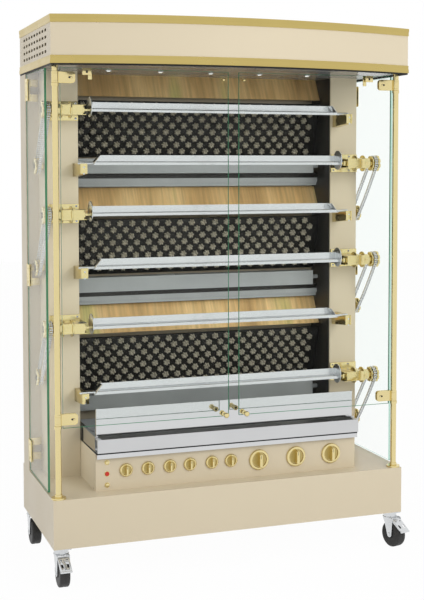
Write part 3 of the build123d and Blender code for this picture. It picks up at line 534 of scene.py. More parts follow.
class Piece:
    """One object of the visual model, gathered from solids that may differ in finish."""

    def __init__(self, name, body, slot, *finishes):
        self.name, self.body, self.slot, self.finishes = name, body, slot, finishes
        self.points, self.faces, self.marks = [], [], []

    def add(self, shape, finish=0):
        """Adds a shape; finish is the number of its material, or one number a face."""
        base = len(self.points)
        self.points += [tuple(c * MM for c in p) for p in shape[0]]
        self.faces += [[base + i for i in face] for face in shape[1]]
        self.marks += finish if isinstance(finish, list) else [finish] * len(shape[1])

    def done(self, *nodes, angle=32):
        """Makes the object, in place of the CAD nodes named; edges over the angle stay sharp."""
        mesh = bpy.data.meshes.new(self.name)
        mesh.from_pydata(self.points, [], self.faces)
        for finish in self.finishes:
            mesh.materials.append(finish)
        mesh.polygons.foreach_set("material_index", self.marks)
        if angle:
            mesh.shade_smooth()
            mesh.set_sharp_from_angle(angle=radians(angle))
        mesh.update()
        made = bpy.data.objects.new(self.name, mesh)
        bpy.context.scene.collection.objects.link(made)
        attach(made, self.body)
        if nodes:
            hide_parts(*nodes)
        return made


def dress(node, material):
    """Gives a CAD node its finish."""
    slots = frame["nodes"][node].material_slots
    if not slots:
        frame["nodes"][node].data.materials.append(material)
    for slot in slots:
        slot.material = material


# Canopy

CHAMBER_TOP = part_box("canopy_bands")[0].z / MM
CANOPY_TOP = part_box("canopy_bands")[1].z / MM
CANOPY_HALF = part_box("canopy_bands")[1].x / MM
CANOPY_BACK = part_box("canopy_bands")[1].y / MM
CANOPY_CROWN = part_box("canopy_bands")[0].y / MM
BAND_HEIGHT = 28.0
BOW_DEPTH = -29.0
GASKET_DROP = 6.0
LAMP_COUNT, LAMP_FIRST_X, LAMP_PITCH, LAMP_DEPTH = 5, -418.0, 200.0, 240.0


def canopy_edge(inset, count=49):
    """The canopy's rim seen from above, from the left rear corner over the bow to the right one."""
    half = CANOPY_HALF - inset
    corner = at(BOW_DEPTH) + inset
    crown = CANOPY_CROWN + inset
    sag = corner - crown
    radius = (half * half + sag * sag) / (2 * sag)
    spread = degrees(atan2(half, radius - sag))
    bow = arc((0, crown + radius), radius, 270 - spread, 270 + spread, count)
    return [(-half, CANOPY_BACK), *bow, (half, CANOPY_BACK)]


def swept_band(bottom, profile, name, slot="brass_polished", material=TRIM):
    """A strip along the canopy's rim: profile gives (height, inset) pairs."""
    piece = Piece(name, "body", slot, material)
    rows = [[(x, y, bottom + height) for x, y in canopy_edge(inset)] for height, inset in profile]
    count = len(rows[0])
    points = [p for row in rows for p in row]
    faces = []
    for r in range(len(rows)):
        n = (r + 1) % len(rows)
        for i in range(count - 1):
            faces.append((r * count + i, r * count + i + 1, n * count + i + 1, n * count + i))
    for end in (0, count - 1):
        faces.append(tuple(r * count + end for r in range(len(rows))))
    piece.add(solid(points, faces))
    return piece


def canopy_mouldings():
    """The two brass bands and the black gasket under the lower one."""
    lower = [
        (0, 3.0), (0, 0.7), (0.7, 0), (12.0, 0.1), (15.0, 0.9), (17.0, 1.2),
        (20.0, 1.2), (24.0, 0.9), (27.3, 1.0), (28.0, 1.6), (28.0, 3.0),
    ]
    upper = [
        (0, 3.0), (0, 1.6), (0.7, 1.0), (5.0, 0.9), (9.0, 1.2), (12.0, 1.2),
        (14.0, 0.9), (17.0, 0.1), (27.3, 0), (28.0, 0.7), (28.0, 3.0),
    ]
    swept_band(CHAMBER_TOP, lower, "canopy_lower_moulding").done("canopy_bands")
    swept_band(CANOPY_TOP - BAND_HEIGHT, upper, "canopy_upper_moulding").done("canopy_bands")
    gasket = [(0, 6.0), (0, 3.4), (0.6, 3.0), (6.4, 3.0), (6.4, 6.0)]
    swept_band(CHAMBER_TOP - GASKET_DROP, gasket, "canopy_gasket", "black_rubber", BLACK_AND_RECESS_SHADE).done()


def ceiling_lamps():
    """Small lamps let into the ceiling, in a row."""
    for number in range(LAMP_COUNT):
        place = (LAMP_FIRST_X + LAMP_PITCH * number, at(LAMP_DEPTH), 0)
        piece = Piece("ceiling_lamp_%d" % (number + 1), "body", "stainless_mirror", MIRROR, FROST)
        rim = [
            (CHAMBER_TOP, 13.0), (CHAMBER_TOP - 2.0, 12.5), (CHAMBER_TOP - 2.8, 11.4),
            (CHAMBER_TOP - 2.6, 9.6), (CHAMBER_TOP - 0.5, 9.0),
        ]
        lens = [(CHAMBER_TOP - 0.6, 9.1), (CHAMBER_TOP - 2.4, 8.4), (CHAMBER_TOP - 3.8, 4.4)]
        piece.add(turned(rim, place, "z", 28))
        piece.add(turned(lens, place, "z", 28), 1)
        piece.done()


# Glass

PANE_EASE = 0.8


def glass_pane(name, body, node, edge=GLASS_EDGE):
    """A pane with polished edges, as large as its CAD node: its two broad faces are clear."""
    low, high = node_box(node)
    wide, thin = (1, 0) if high.x - low.x < high.y - low.y else (0, 1)
    outline = [(low[wide], low.z), (high[wide], low.z), (high[wide], high.z), (low[wide], high.z)]
    points, faces = prism(outline, low[thin], high[thin] - low[thin], "xy"[thin], PANE_EASE)
    marks = []
    for face in faces:
        places = [points[i][thin] for i in face]
        marks.append(0 if max(places) - min(places) < 1e-3 else 1)
    piece = Piece(name, body, "clear_glass", GLASS, edge)
    piece.add((points, faces), marks)
    piece.done(node, angle=0)


# Door fittings

POST_X = abs(joint_place("front_door_left_hinge").x)
POST_DEPTH = 25.0
PATCH_INNER, PATCH_OUTER = 591.0, 655.0
PATCH_BOTTOMS = (574.0, 1782.0)
PATCH_HEIGHT = 41.0
PATCH_SCREW_X = 609.0
FITTING_STEEL = 4.0
SLEEVE = 12.5
SLEEVE_GROOVE = 0.5
GLASS_DEPTH = 28.0
GLASS_THICK = 8.0
GLASS_REAR = GLASS_DEPTH + GLASS_THICK
FITTING_FRONT = GLASS_DEPTH - FITTING_STEEL
DOOR_TOP = 1836.0
KNOB_X, KNOB_HEIGHT = 40.0, 572.0
KNOB_FOOT = 8.4
CATCH_DROP = 28.0
CLIP_X, CLIP_WIDTH, CLIP_HEIGHT = 550.0, 32.0, 24.0
CLIP_REAR_X, CLIP_REAR_WIDTH, CLIP_REAR_HEIGHT = 536.0, 14.0, 39.0
CLIP_EASE = 1.2


def patch_hinge(piece, side, bottom):
    """Two brass plates on the glass, a screw in its slot, which is a black patch of painted shade, and a
    sleeve round the corner post.
    """
    middle = bottom + PATCH_HEIGHT / 2
    big, small = 12.0, 2.0
    low_x, high_x = sorted((side * PATCH_INNER, side * PATCH_OUTER))
    radii = (big, small, small, big) if side > 0 else (small, big, big, small)
    rim = rounded_outline((low_x, bottom), (high_x, bottom + PATCH_HEIGHT), radii)
    for depth in (FITTING_FRONT, GLASS_REAR):
        plate = cut_plate([rim], FITTING_STEEL, 0.8)
        place = Matrix.Translation((0, at(depth + FITTING_STEEL / 2), 0))
        piece.add(moved(plate, place @ UPRIGHT_Y))
    bridge_depth, bridge_length = GLASS_DEPTH - 1.0, GLASS_THICK + 2.0
    piece.add(span(side, 646.0, POST_X, bridge_depth, bottom + 1, bridge_length, PATCH_HEIGHT - 2))
    slot = slot_outline(14.0, 7.0, (side * PATCH_SCREW_X, middle))
    # the slot is a black patch on the plate: painted shade for an open slot
    piece.add(prism(slot, at(FITTING_FRONT - 0.3), 0.8, "y"), 1)
    screw = (side * PATCH_SCREW_X - side * 3.0, 0, middle - 0.5)
    piece.add(drum(screw, "y", at(FITTING_FRONT - 1.0), 1.2, 3.0, 0.4, 16))
    top = bottom + PATCH_HEIGHT
    groove = SLEEVE - SLEEVE_GROOVE
    sleeve = [
        (bottom, SLEEVE - 1.0), (bottom + 1.0, SLEEVE), (bottom + 7.0, SLEEVE), (bottom + 7.7, groove),
        (bottom + 8.4, SLEEVE), (top - 8.4, SLEEVE), (top - 7.7, groove), (top - 7.0, SLEEVE),
        (top - 1.0, SLEEVE), (top, SLEEVE - 1.0),
    ]
    piece.add(turned(sleeve, (side * POST_X, at(POST_DEPTH), 0), "z", 32))


def door_knob(piece, side):
    """A ball on a waisted stem before the glass, and a round nut behind it with a black disc in its recess
    as painted shade.
    """
    place = (side * KNOB_X, 0, KNOB_HEIGHT)
    ball = [
        (-10.0, 2.6), (-9.6, 5.0), (-7.6, 8.0), (-4.4, 9.7), (0.0, 10.0), (4.2, 9.0), (7.6, 6.2),
        (9.0, 4.2), (13.0, 3.3), (19.0, 3.3), (22.5, 4.6), (24.0, 7.6), (25.0, KNOB_FOOT),
        (GLASS_DEPTH, KNOB_FOOT),
    ]
    nut = [
        (0.0, KNOB_FOOT), (2.6, 8.2), (3.6, 7.0), (3.8, 3.4), (11.0, 3.0), (11.6, 8.6), (12.0, 9.6),
        (12.8, 10.0), (15.2, 10.0), (16.0, 9.4), (16.0, 4.0),
    ]
    piece.add(turned_y(ball, place, 36))
    piece.add(turned_y([(GLASS_REAR + along, radius) for along, radius in nut], place, 36))
    # black disc in the nut's back: painted shade for its recess
    piece.add(drum(place, "y", at(GLASS_REAR + 15.6), 0.6, 4.4, 0.1, 20), 1)


def front_fittings(side, hand):
    """One front door's patch hinges, top clip, knob and catch."""
    piece = Piece("front_fittings_set_" + hand, "front_door_" + hand, "brass_polished", BRASS, BLACK_AND_RECESS_SHADE)
    for bottom in PATCH_BOTTOMS:
        patch_hinge(piece, side, bottom)
    for x, depth, width, height in (
        (CLIP_X, FITTING_FRONT, CLIP_WIDTH, CLIP_HEIGHT),
        (CLIP_REAR_X, GLASS_REAR, CLIP_REAR_WIDTH, CLIP_REAR_HEIGHT),
    ):
        piece.add(block(side * x, depth, DOOR_TOP - height, width, FITTING_STEEL, height, CLIP_EASE))
    piece.add(block(side * CLIP_X, FITTING_FRONT - 0.3, DOOR_TOP - 17.0, 7.0, 1.0, 9.0, 0.3), 1)
    door_knob(piece, side)
    catch = (side * KNOB_X, 0, DOOR_TOP - CATCH_DROP)
    for start, reach in ((GLASS_DEPTH, -FITTING_STEEL), (GLASS_REAR, FITTING_STEEL)):
        button = [(0, 5.0), (0.5, 5.0), (0.85, 4.2), (1, 2.2)]
        piece.add(turned_y([(start + reach * share, radius) for share, radius in button], catch, 24))
    piece.done("front_fittings_" + hand)


HINGE_BOTTOMS = (356.0, 1034.0, 1737.0)
HINGE_HEIGHT = 84.0
HINGE_GAP = 0.3
HINGE_FRONT, HINGE_REAR = 403.5, 445.5
HINGE_PLATES = ((687.5, 690.5), (676.5, 679.5))
HINGE_FACE = HINGE_PLATES[0][1]
HINGE_SCREW_DEPTH, HINGE_SCREW_RISES = 424.0, (16.0, 68.0)


def side_hinges(side, hand):
    """Brass plates clamped on the side glass, with a screwed cover and the moving barrel."""
    piece = Piece("side_hinge_set_" + hand, "side_door_" + hand, "brass_polished", BRASS, BLACK_AND_RECESS_SHADE)
    barrel = (HINGE_HEIGHT - 2 * HINGE_GAP) / 3
    axis = joint_place("side_door_" + hand + "_hinge")
    for z in HINGE_BOTTOMS:
        middle = z + barrel + HINGE_GAP
        for inner, outer in HINGE_PLATES:
            low, high = (at(HINGE_FRONT), z), (at(HINGE_REAR), z + HINGE_HEIGHT)
            rim = rounded_outline(low, high, (8.0, 1.0, 1.0, 8.0))
            piece.add(prism(rim, min(side * inner, side * outer), outer - inner, "x", 0.7))
        piece.add(span(side, 677.0, 690.0, HINGE_REAR - 0.5, middle, 6.5, barrel, 0.4))
        piece.add(drum((axis.x, axis.y, 0), "z", middle, barrel, 6.0, 0.5, 24))
        for rise in HINGE_SCREW_RISES:
            spot = (0, at(HINGE_SCREW_DEPTH), z + rise)
            head = [(0.0, 6.5), (0.5, 6.3), (1.1, 4.5), (1.2, 2.6)]
            piece.add(turned_x(side, [(HINGE_FACE + out, radius) for out, radius in head], spot, 20))
            # black hexagon in each screw head: painted shade for its socket
            piece.add(drum(spot, "x", side * (HINGE_FACE + 1.0), side * 0.4, 2.4, 0.05, 6), 1)
    piece.done("side_hinges_" + hand)


# Roasting stages

STAGE_TOPS = (1866.0, 1406.0, 946.0)
SHEET_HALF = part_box("firebacks")[1].x / MM
FIRE_STEEL = 8.0
FIRE_TOP_DEPTH, FIRE_FOOT_DEPTH, FIRE_DROP, FIRE_HEIGHT = 418.0, 482.0, 123.0, 217.0
STUD_ROWS, STUD_COLUMNS, STUD_ROW_PITCH, STUD_PITCH = 8, 20, 26.4, 49.0
STUD_FIRST_ROW = 0.6
STUD_CORE, STUD_LOBE, STUD_CLEFT = 7.2, 6.3, 5.5
STUD_STEPS = 36


def rosette():
    """One cast stud: a low dome with six deep lobes, drawn about the origin with +Z out of the plate."""
    rings = ((1.0, -0.4), (1.0, 4.0), (0.88, 9.0), (0.66, 12.0), (0.46, 9.0), (0.3, 6.0), (0.12, 5.0))
    points = []
    for share, height in rings:
        cleft = STUD_CLEFT if 0.3 < share < 0.95 else 0.0
        for i in range(STUD_STEPS):
            angle = 2 * pi * i / STUD_STEPS
            lobe = abs(cos(3 * angle)) ** 0.7
            radius = share * (STUD_CORE + STUD_LOBE * lobe * min(1.0, share * 1.3))
            points.append((radius * cos(angle), radius * sin(angle), height - (1 - lobe) * cleft))
    last = (len(rings) - 1) * STUD_STEPS
    return points, ring_faces(len(rings), STUD_STEPS) + [tuple(last + i for i in range(STUD_STEPS))]


def fireback(number, top):
    """A leaning cast plate with staggered rows of studs, each turned by its own angle."""
    plate_top = top - FIRE_DROP
    run = FIRE_FOOT_DEPTH - FIRE_TOP_DEPTH
    lean = atan2(run, FIRE_HEIGHT)
    length = hypot(run, FIRE_HEIGHT)
    tilt = Matrix.Translation((0, at(FIRE_TOP_DEPTH), plate_top))
    tilt = tilt @ Matrix.Rotation(pi / 2 + lean, 4, "X")
    piece = Piece("fireback_%d" % number, "body", "cast_dark", CAST, STUD)
    slab = [(-SHEET_HALF, -length), (SHEET_HALF, -length), (SHEET_HALF, 0), (-SHEET_HALF, 0)]
    piece.add(moved(prism(slab, -FIRE_STEEL, FIRE_STEEL, "z", 1.2), tilt))
    stud = rosette()
    for row in range(STUD_ROWS):
        down = -(row + STUD_FIRST_ROW) * STUD_ROW_PITCH
        shift = STUD_PITCH / 4 * (1 if row % 2 else -1)
        for column in range(STUD_COLUMNS):
            x = shift + (column - (STUD_COLUMNS - 1) / 2) * STUD_PITCH
            spin = Matrix.Rotation(radians((row * 37 + column * 53) % 60), 4, "Z")
            piece.add(moved(stud, tilt @ Matrix.Translation((x, down, 0)) @ spin), 1)
    piece.done("firebacks")


# Spits

SPIT_DEPTH = 200.0
SECTION_HALF, SECTION_TOP, SECTION_FOOT = 22.0, 30.3, -5.7
SHEET_STEEL, SHEET_BEND, FOLD_RADIUS = 3.0, 4.0, 1.0
WEB_UNDER, WEB_OVER = 3.3, 6.3
BAR_END, SPEAR_START, SPEAR_TIP, SPEAR_CAP = 498.0, 466.0, 494.0, 2.5
DISC_RADIUS, DISC_RISE = 38.0, 12.0
KEY_START, KEY_END, KEY_HALF = 470.0, 556.0, 4.0
COLLAR_START, COLLAR_END, COLLAR_DEPTH_HALF, COLLAR_HALF = 521.0, 548.0, 11.0, 10.0
SPINDLE_RADIUS = 12.0
HUB_START, HUB_RADIUS = 636.0, 14.0
SPROCKET_X = 656.0
SPROCKET_STEEL = 5.0
INNER_WHEEL, OUTER_WHEEL, MOTOR_WHEEL = (641.0, 646.0, 30.0), (664.0, 674.0, 32.0), (664.0, 670.0, 31.0)
WHEEL_NOTCH, WHEEL_NOTCHES = 5.0, 8
WINDOW_RADIUS, SPIT_WINDOWS = 3.5, 5
PITCH = 9.525
SPIT_TEETH, MOTOR_TEETH = 18, 18
TOOTH_HEIGHT, GULLET = 3.6, 3.4
ROLLER = 3.1


def drive_side(place):
    """1 for a drive on the right, -1 for one on the left."""
    return 1 if place.x > 0 else -1


def pitch_radius(teeth):
    """The circle of the chain's pins round a sprocket."""
    return PITCH / (2 * sin(pi / teeth))


def wheel_outline(teeth):
    """The toothed rim of a sprocket for a roller chain."""
    ring = pitch_radius(teeth)
    rim = []
    for tooth in range(teeth):
        middle = 2 * pi * tooth / teeth
        gullet = (ring * cos(middle), ring * sin(middle))
        for t in (1.35, 0.9, 0.45, 0, -0.45, -0.9, -1.35):
            turn = middle + pi + t
            rim.append((gullet[0] + GULLET * cos(turn), gullet[1] + GULLET * sin(turn)))
        for share in (0.36, 0.5, 0.64):
            turn = middle + 2 * pi / teeth * share
            radius = ring + TOOTH_HEIGHT - 0.5 * (share != 0.5)
            rim.append((radius * cos(turn), radius * sin(turn)))
    return rim


def sprocket_plate(teeth, windows):
    """A toothed plate, with round windows between the hub and the teeth."""
    holes = []
    middle = (HUB_RADIUS + pitch_radius(teeth) - ROLLER) / 2
    for i in range(windows):
        turn = 2 * pi * i / windows
        holes.append(arc((middle * cos(turn), middle * sin(turn)), WINDOW_RADIUS, 0, 345, 24))
    return cut_plate([wheel_outline(teeth), *holes], SPROCKET_STEEL, 0.5)


def star_wheel(side, inner, outer, radius):
    """A brass wheel with round notches in its rim, about the X axis."""
    rim = []
    for i in range(WHEEL_NOTCHES):
        middle = 2 * pi * i / WHEEL_NOTCHES
        for t in (1.49, 1.0, 0.5, 0.0, -0.5, -1.0, -1.49):
            turn = middle + pi + t
            across, up = radius * cos(middle), radius * sin(middle)
            rim.append((across + WHEEL_NOTCH * cos(turn), up + WHEEL_NOTCH * sin(turn)))
        for t in (0.22, 0.31, 0.39, 0.48, 0.57):
            rim.append((radius * cos(middle + t), radius * sin(middle + t)))
    plate = cut_plate([rim], outer - inner, 0.8)
    return moved(plate, Matrix.Translation((side * (inner + outer) / 2, 0, 0)) @ UPRIGHT_X)


def spit_section():
    """The bent sheet's section as (depth, height) round the spit's axis, with rounded bends."""
    outer, inner = SECTION_HALF, SECTION_HALF - SHEET_STEEL
    bend, fold = SHEET_BEND, FOLD_RADIUS
    outline = [(outer, SECTION_TOP)]
    outline += arc((outer - bend, WEB_UNDER + bend), bend, 0, -90, 6)
    outline += arc((-inner + fold, WEB_UNDER - fold), fold, 90, 180, 4)
    outline += [(-inner, SECTION_FOOT), (-outer, SECTION_FOOT)]
    outline += arc((-outer + bend, WEB_OVER - bend), bend, 180, 90, 6)
    outline += arc((inner - fold, WEB_OVER + fold), fold, 270, 360, 4)
    return outline + [(inner, SECTION_TOP)]


def spit_bar(number, body, drive, z):
    """The bent bar with its spear end, its rod, its key and collar into the drive, and its disc."""
    axis = (0, at(SPIT_DEPTH), z)
    bar = Piece("spit_bar_%d" % number, body, "stainless_brushed", STAINLESS, ZINC, BRASS)
    run, rise = SPEAR_TIP - SPEAR_START, SECTION_TOP - SECTION_FOOT
    section = spit_section()
    near = [(drive * BAR_END, at(SPIT_DEPTH + depth), z + height) for depth, height in section]
    far = [
        (-drive * (SPEAR_START + run * (SECTION_TOP - height) / rise), at(SPIT_DEPTH + depth), z + height)
        for depth, height in section
    ]
    bar.add(bridged(near + far))
    cap = [
        (-drive * SPEAR_START, z + SECTION_TOP), (-drive * SPEAR_TIP, z + SECTION_FOOT),
        (-drive * (SPEAR_TIP - SPEAR_CAP), z + SECTION_FOOT),
        (-drive * (SPEAR_START - SPEAR_CAP), z + SECTION_TOP),
    ]
    bar.add(prism(cap, at(SPIT_DEPTH - SECTION_HALF), 2 * SECTION_HALF, "y", 0.6))
    rod = [(438.0, 5.0), (439.0, 5.5), (540.0, 5.5), (545.0, 3.8), (546.0, 2.0)]
    bar.add(turned_x(-drive, rod, axis, 24), 1)
    for start, end, deep, high, ease in (
        (KEY_START, KEY_END, KEY_HALF, KEY_HALF, 0.8),
        (COLLAR_START, COLLAR_END, COLLAR_DEPTH_HALF, COLLAR_HALF, 1.6),
    ):
        bar.add(span(drive, start, end, SPIT_DEPTH - deep, z - high, 2 * deep, 2 * high, ease), 2)
    half = [(0.0, DISC_RADIUS - 1.2), (0.5, DISC_RADIUS - 0.2), (1.2, DISC_RADIUS)]
    disc = [(BAR_END + along, radius) for along, radius in half]
    disc += [(BAR_END + 4.0 - along, radius) for along, radius in half[::-1]]
    bar.add(turned_x(drive, disc, (0, at(SPIT_DEPTH), z + DISC_RISE), 56), 1)
    bar.done(body)


def spit_drive(number, body, drive, z):
    """The brass spindle with its sprocket between two star wheels."""
    axis = (0, at(SPIT_DEPTH), z)
    wheel = Piece("spit_sprocket_%d" % number, body, "brass_polished", BRASS)
    place = Matrix.Translation((drive * SPROCKET_X, at(SPIT_DEPTH), z))
    wheel.add(moved(sprocket_plate(SPIT_TEETH, SPIT_WINDOWS), place @ UPRIGHT_X))
    for star in (INNER_WHEEL, OUTER_WHEEL):
        wheel.add(moved(star_wheel(drive, *star), axis))
    face = OUTER_WHEEL[1]
    spindle = [
        (KEY_END, 11.0), (KEY_END + 1.0, SPINDLE_RADIUS), (634.3, SPINDLE_RADIUS), (634.6, 12.6),
        (HUB_START, HUB_RADIUS), (face - 2.5, HUB_RADIUS), (face - 0.6, 13.4), (face, 12.4),
        (face, 5.0), (face - 0.8, 4.4),
    ]
    wheel.add(turned_x(drive, spindle, axis, 36))
    wheel.done(body)


def motor_sprocket(number):
    """The lower sprocket with its star wheel, on the gearmotor's steel shaft."""
    spin = joint_place("motor_sprocket_%d_spin" % number)
    drive = drive_side(spin)
    body = "motor_sprocket_%d" % number
    centre = (0, spin.y, spin.z)
    wheel = Piece("motor_pinion_%d" % number, body, "brass_polished", BRASS, ZINC, BLACK_AND_RECESS_SHADE)
    wheel.add(moved(sprocket_plate(MOTOR_TEETH, 0), Matrix.Translation(spin) @ UPRIGHT_X))
    wheel.add(moved(star_wheel(drive, *MOTOR_WHEEL), centre))
    face = MOTOR_WHEEL[1]
    hub = [
        (HUB_START - 0.8, 12.8), (HUB_START, HUB_RADIUS), (face - 1.0, HUB_RADIUS), (face, 12.8),
        (face, 7.5),
    ]
    shaft = [(610.0, 6.4), (611.0, 7.0), (face - 0.6, 7.0), (face, 6.2)]
    wheel.add(turned_x(drive, hub, centre, 32))
    wheel.add(turned_x(drive, shaft, centre, 24), 1)
    # black disc on the hub face: painted shade for the set screw's socket
    wheel.add(drum((0, spin.y, spin.z + 11.5), "x", drive * (face - 0.4), drive * 0.4, 1.6, 0.05, 12), 2)
    wheel.done(body)


# Housings, rests and chains

BLOCK_START, BLOCK_END = 519.0, 612.0
BLOCK_FRONT, BLOCK_LENGTH, BLOCK_HALF = 170.0, 143.0, 19.0
GROOVE_START, GROOVE_END = 571.0, 588.0
BORE = 12.05
FLANGE, NECK = 32.0, 22.0
OUTER_FLANGE_START = 606.0
PLATE_FRONT, PLATE_END, PLATE_HALF, PLATE_STEEL = 305.5, 634.6, 36.0, 8.0
PLATE_SCREWS_X, PLATE_SCREW_RISE = (529.0, 598.0), 28.0
REST_INNER_LEFT, REST_INNER_RIGHT = 514.0, 528.0
REST_WIDTH = 26.0
REST_FRONT, REST_REAR = 181.0, 313.5
REST_NOTCH, REST_FRONT_HEIGHT, REST_REAR_HEIGHT = 5.6, 38.0, 50.0
CHAIN_SAG = 7.0
LINK_STEEL, LINK_HALF, LINK_WAIST = 1.3, 4.1, 2.9
INNER_LINK, OUTER_LINK = 3.2, 4.7
PIN_RADIUS, PIN_LENGTH, ROLLER_LENGTH = 1.8, 13.0, 6.0
RUN_STEPS, WRAP_STEPS = 26, 16


def bearing_body(drive):
    """A brass block with a socket open to the middle and the front, carved from one blank, about z 0."""
    axis = (0, at(SPIT_DEPTH), 0)
    size = (BLOCK_LENGTH, 2 * BLOCK_HALF)
    blank = span(drive, BLOCK_START, BLOCK_END, BLOCK_FRONT, -BLOCK_HALF, *size, 1.4)
    socket = turned_x(drive, [(512.0, 16.0), (KEY_END, 16.0)], axis, 40)
    mouth = span(drive, 510.0, 531.0, 160.0, -16.5, 40.0, 33.0, 0)
    groove = span(drive, GROOVE_START, GROOVE_END, 160.0, -30.0, 16.0, 60.0, 0)
    bore = turned_x(drive, [(550.0, BORE), (620.0, BORE)], axis, 36)
    return carved(blank, socket, mouth, groove, bore)


def bearing(piece, drive, z, body):
    """One bearing: the carved block, its plate on the column, and a neck with two flanges."""
    piece.add(moved(body, Matrix.Translation((0, 0, z))))
    bottom, height = z - PLATE_HALF, 2 * PLATE_HALF
    piece.add(span(drive, BLOCK_START, PLATE_END, PLATE_FRONT, bottom, PLATE_STEEL, height, 1.4))
    flange = [(0.0, FLANGE - 1.0), (0.8, FLANGE), (4.2, FLANGE), (5.0, FLANGE - 1.0)]
    neck = [(GROOVE_START, BORE), *((GROOVE_START + along, radius) for along, radius in flange)]
    neck += [(576.0, NECK), (588.0, NECK), (592.0, 20.6), (598.0, 20.6), (602.0, NECK)]
    neck += [(OUTER_FLANGE_START, NECK)]
    neck += [(OUTER_FLANGE_START + along, radius) for along, radius in flange]
    neck += [(611.0, NECK), (621.0, NECK), (622.0, 21.0), (633.0, 21.0), (634.0, 20.0), (634.0, BORE)]
    piece.add(turned_x(drive, neck, (0, at(SPIT_DEPTH), z), 48, bored=True))
    for x in PLATE_SCREWS_X:
        for rise in (-PLATE_SCREW_RISE, PLATE_SCREW_RISE):
            spot = (drive * x, 0, z + rise)
            piece.add(drum(spot, "y", at(PLATE_FRONT - 1.9), 2.2, 4.2, 0.5, 20), 1)
            # black hexagon in each screw head: painted shade for its socket
            piece.add(drum(spot, "y", at(PLATE_FRONT - 2.2), 0.5, 2.0, 0.05, 6), 2)


def spit_rest(piece, side, z):
    """A brass arm on the column with a half-round notch for the spit's rod."""
    inner = REST_INNER_LEFT if side < 0 else REST_INNER_RIGHT
    notch = arc((at(SPIT_DEPTH), z), REST_NOTCH, 180, 360, 13)
    front, rear = at(REST_FRONT), at(REST_REAR)
    outline = [(front, z), *notch, (rear, z), (rear, z - REST_REAR_HEIGHT), (front, z - REST_FRONT_HEIGHT)]
    piece.add(prism(outline, min(side * inner, side * (inner + REST_WIDTH)), REST_WIDTH, "x", 1.0))
    middle = side * (inner + REST_WIDTH / 2)
    for rise, sunk in ((14.0, 0.0), (38.0, 0.3)):
        piece.add(drum((middle, 0, z - rise), "y", at(REST_FRONT - 0.8 + sunk), 1.6, 3.2, 0.4, 20), 1)


def chain_path(spit_place, motor_place):
    """The chain's loop in (y, z): down one run, round the motor, up the other and over the top."""
    big, little = pitch_radius(SPIT_TEETH), pitch_radius(MOTOR_TEETH)
    run_y, run_z = motor_place.y - spit_place.y, motor_place.z - spit_place.z
    heading = atan2(run_z, run_y)
    wrap = acos((big - little) / hypot(run_y, run_z))
    spots = []

    def run(turn, shares, droop):
        """A run between the two wheels, hanging by the droop at its middle."""
        for share in shares:
            y = big * cos(turn) * (1 - share) + (run_y + little * cos(turn)) * share
            z = big * sin(turn) * (1 - share) + (run_z + little * sin(turn)) * share
            spots.append((spit_place.y + y, spit_place.z + z - droop * 4 * share * (1 - share)))

    def wrapped(centre, radius, first, last):
        """The stretch that lies round a wheel, without its ends."""
        for i in range(1, WRAP_STEPS):
            turn = first + (last - first) * i / WRAP_STEPS
            spots.append((centre.y + radius * cos(turn), centre.z + radius * sin(turn)))

    down = [i / RUN_STEPS for i in range(RUN_STEPS + 1)]
    run(heading - wrap, down, CHAIN_SAG)
    wrapped(motor_place, little, heading - wrap, heading + wrap)
    run(heading + wrap, [1 - share for share in down], 0.0)
    wrapped(spit_place, big, heading + wrap, heading - wrap + 2 * pi)
    return spots + [spots[0]]


def even_spots(path, spacing):
    """Points a link apart along a closed path, an even number of them."""
    lengths = [hypot(b[0] - a[0], b[1] - a[1]) for a, b in zip(path, path[1:])]
    count = round(sum(lengths) / spacing)
    count += count % 2
    step = sum(lengths) / count
    spots, leg, used = [], 0, 0.0
    for i in range(count):
        goal = i * step
        while used + lengths[leg] < goal:
            used += lengths[leg]
            leg += 1
        share = (goal - used) / lengths[leg]
        (ay, az), (by, bz) = path[leg], path[leg + 1]
        spots.append((ay + share * (by - ay), az + share * (bz - az)))
    return spots


def link_plate(length):
    """A waisted side plate between two pins, drawn along +u."""
    rim = arc((length, 0), LINK_HALF, -110, 110, 8) + [(length / 2, LINK_WAIST)]
    return rim + arc((0, 0), LINK_HALF, 70, 290, 8) + [(length / 2, -LINK_WAIST)]


def drive_chain(number):
    """A roller chain: inner and outer links in turn, each with a roller on its pin."""
    spit_place = joint_place("spit_%d_spin" % number)
    motor_place = joint_place("motor_sprocket_%d_spin" % number)
    middle = drive_side(spit_place) * SPROCKET_X
    spots = even_spots(chain_path(spit_place, motor_place), PITCH)
    piece = Piece("drive_chain_%d" % number, "body", "chain_steel", CHAIN)
    for i, (y, z) in enumerate(spots):
        next_y, next_z = spots[(i + 1) % len(spots)]
        turn = atan2(next_z - z, next_y - y)
        rim = [
            (y + u * cos(turn) - v * sin(turn), z + u * sin(turn) + v * cos(turn))
            for u, v in link_plate(hypot(next_y - y, next_z - z))
        ]
        gap = INNER_LINK if i % 2 else OUTER_LINK
        for start in (-gap - LINK_STEEL, gap):
            piece.add(prism(rim, middle + start, LINK_STEEL, "x"))
        for length, radius, steps in ((ROLLER_LENGTH, ROLLER - 0.05, 10), (PIN_LENGTH, PIN_RADIUS, 8)):
            piece.add(drum((0, y, z), "x", middle - length / 2, length, radius, 0.3, steps))
    piece.done("drive_chains")


# Controls

PANEL_FRONT = 70.6
SMALL_KNOB, SMALL_GRIP = 24.5, 15.0
GAS_KNOB, GAS_GRIP = 39.0, 22.0
LAMP_RADIUS, BUTTON_RADIUS = 8.0, 7.05
BEZEL_GAP, BEZEL_WIDTH, BEZEL_STEEL = 0.15, 2.6, 1.6


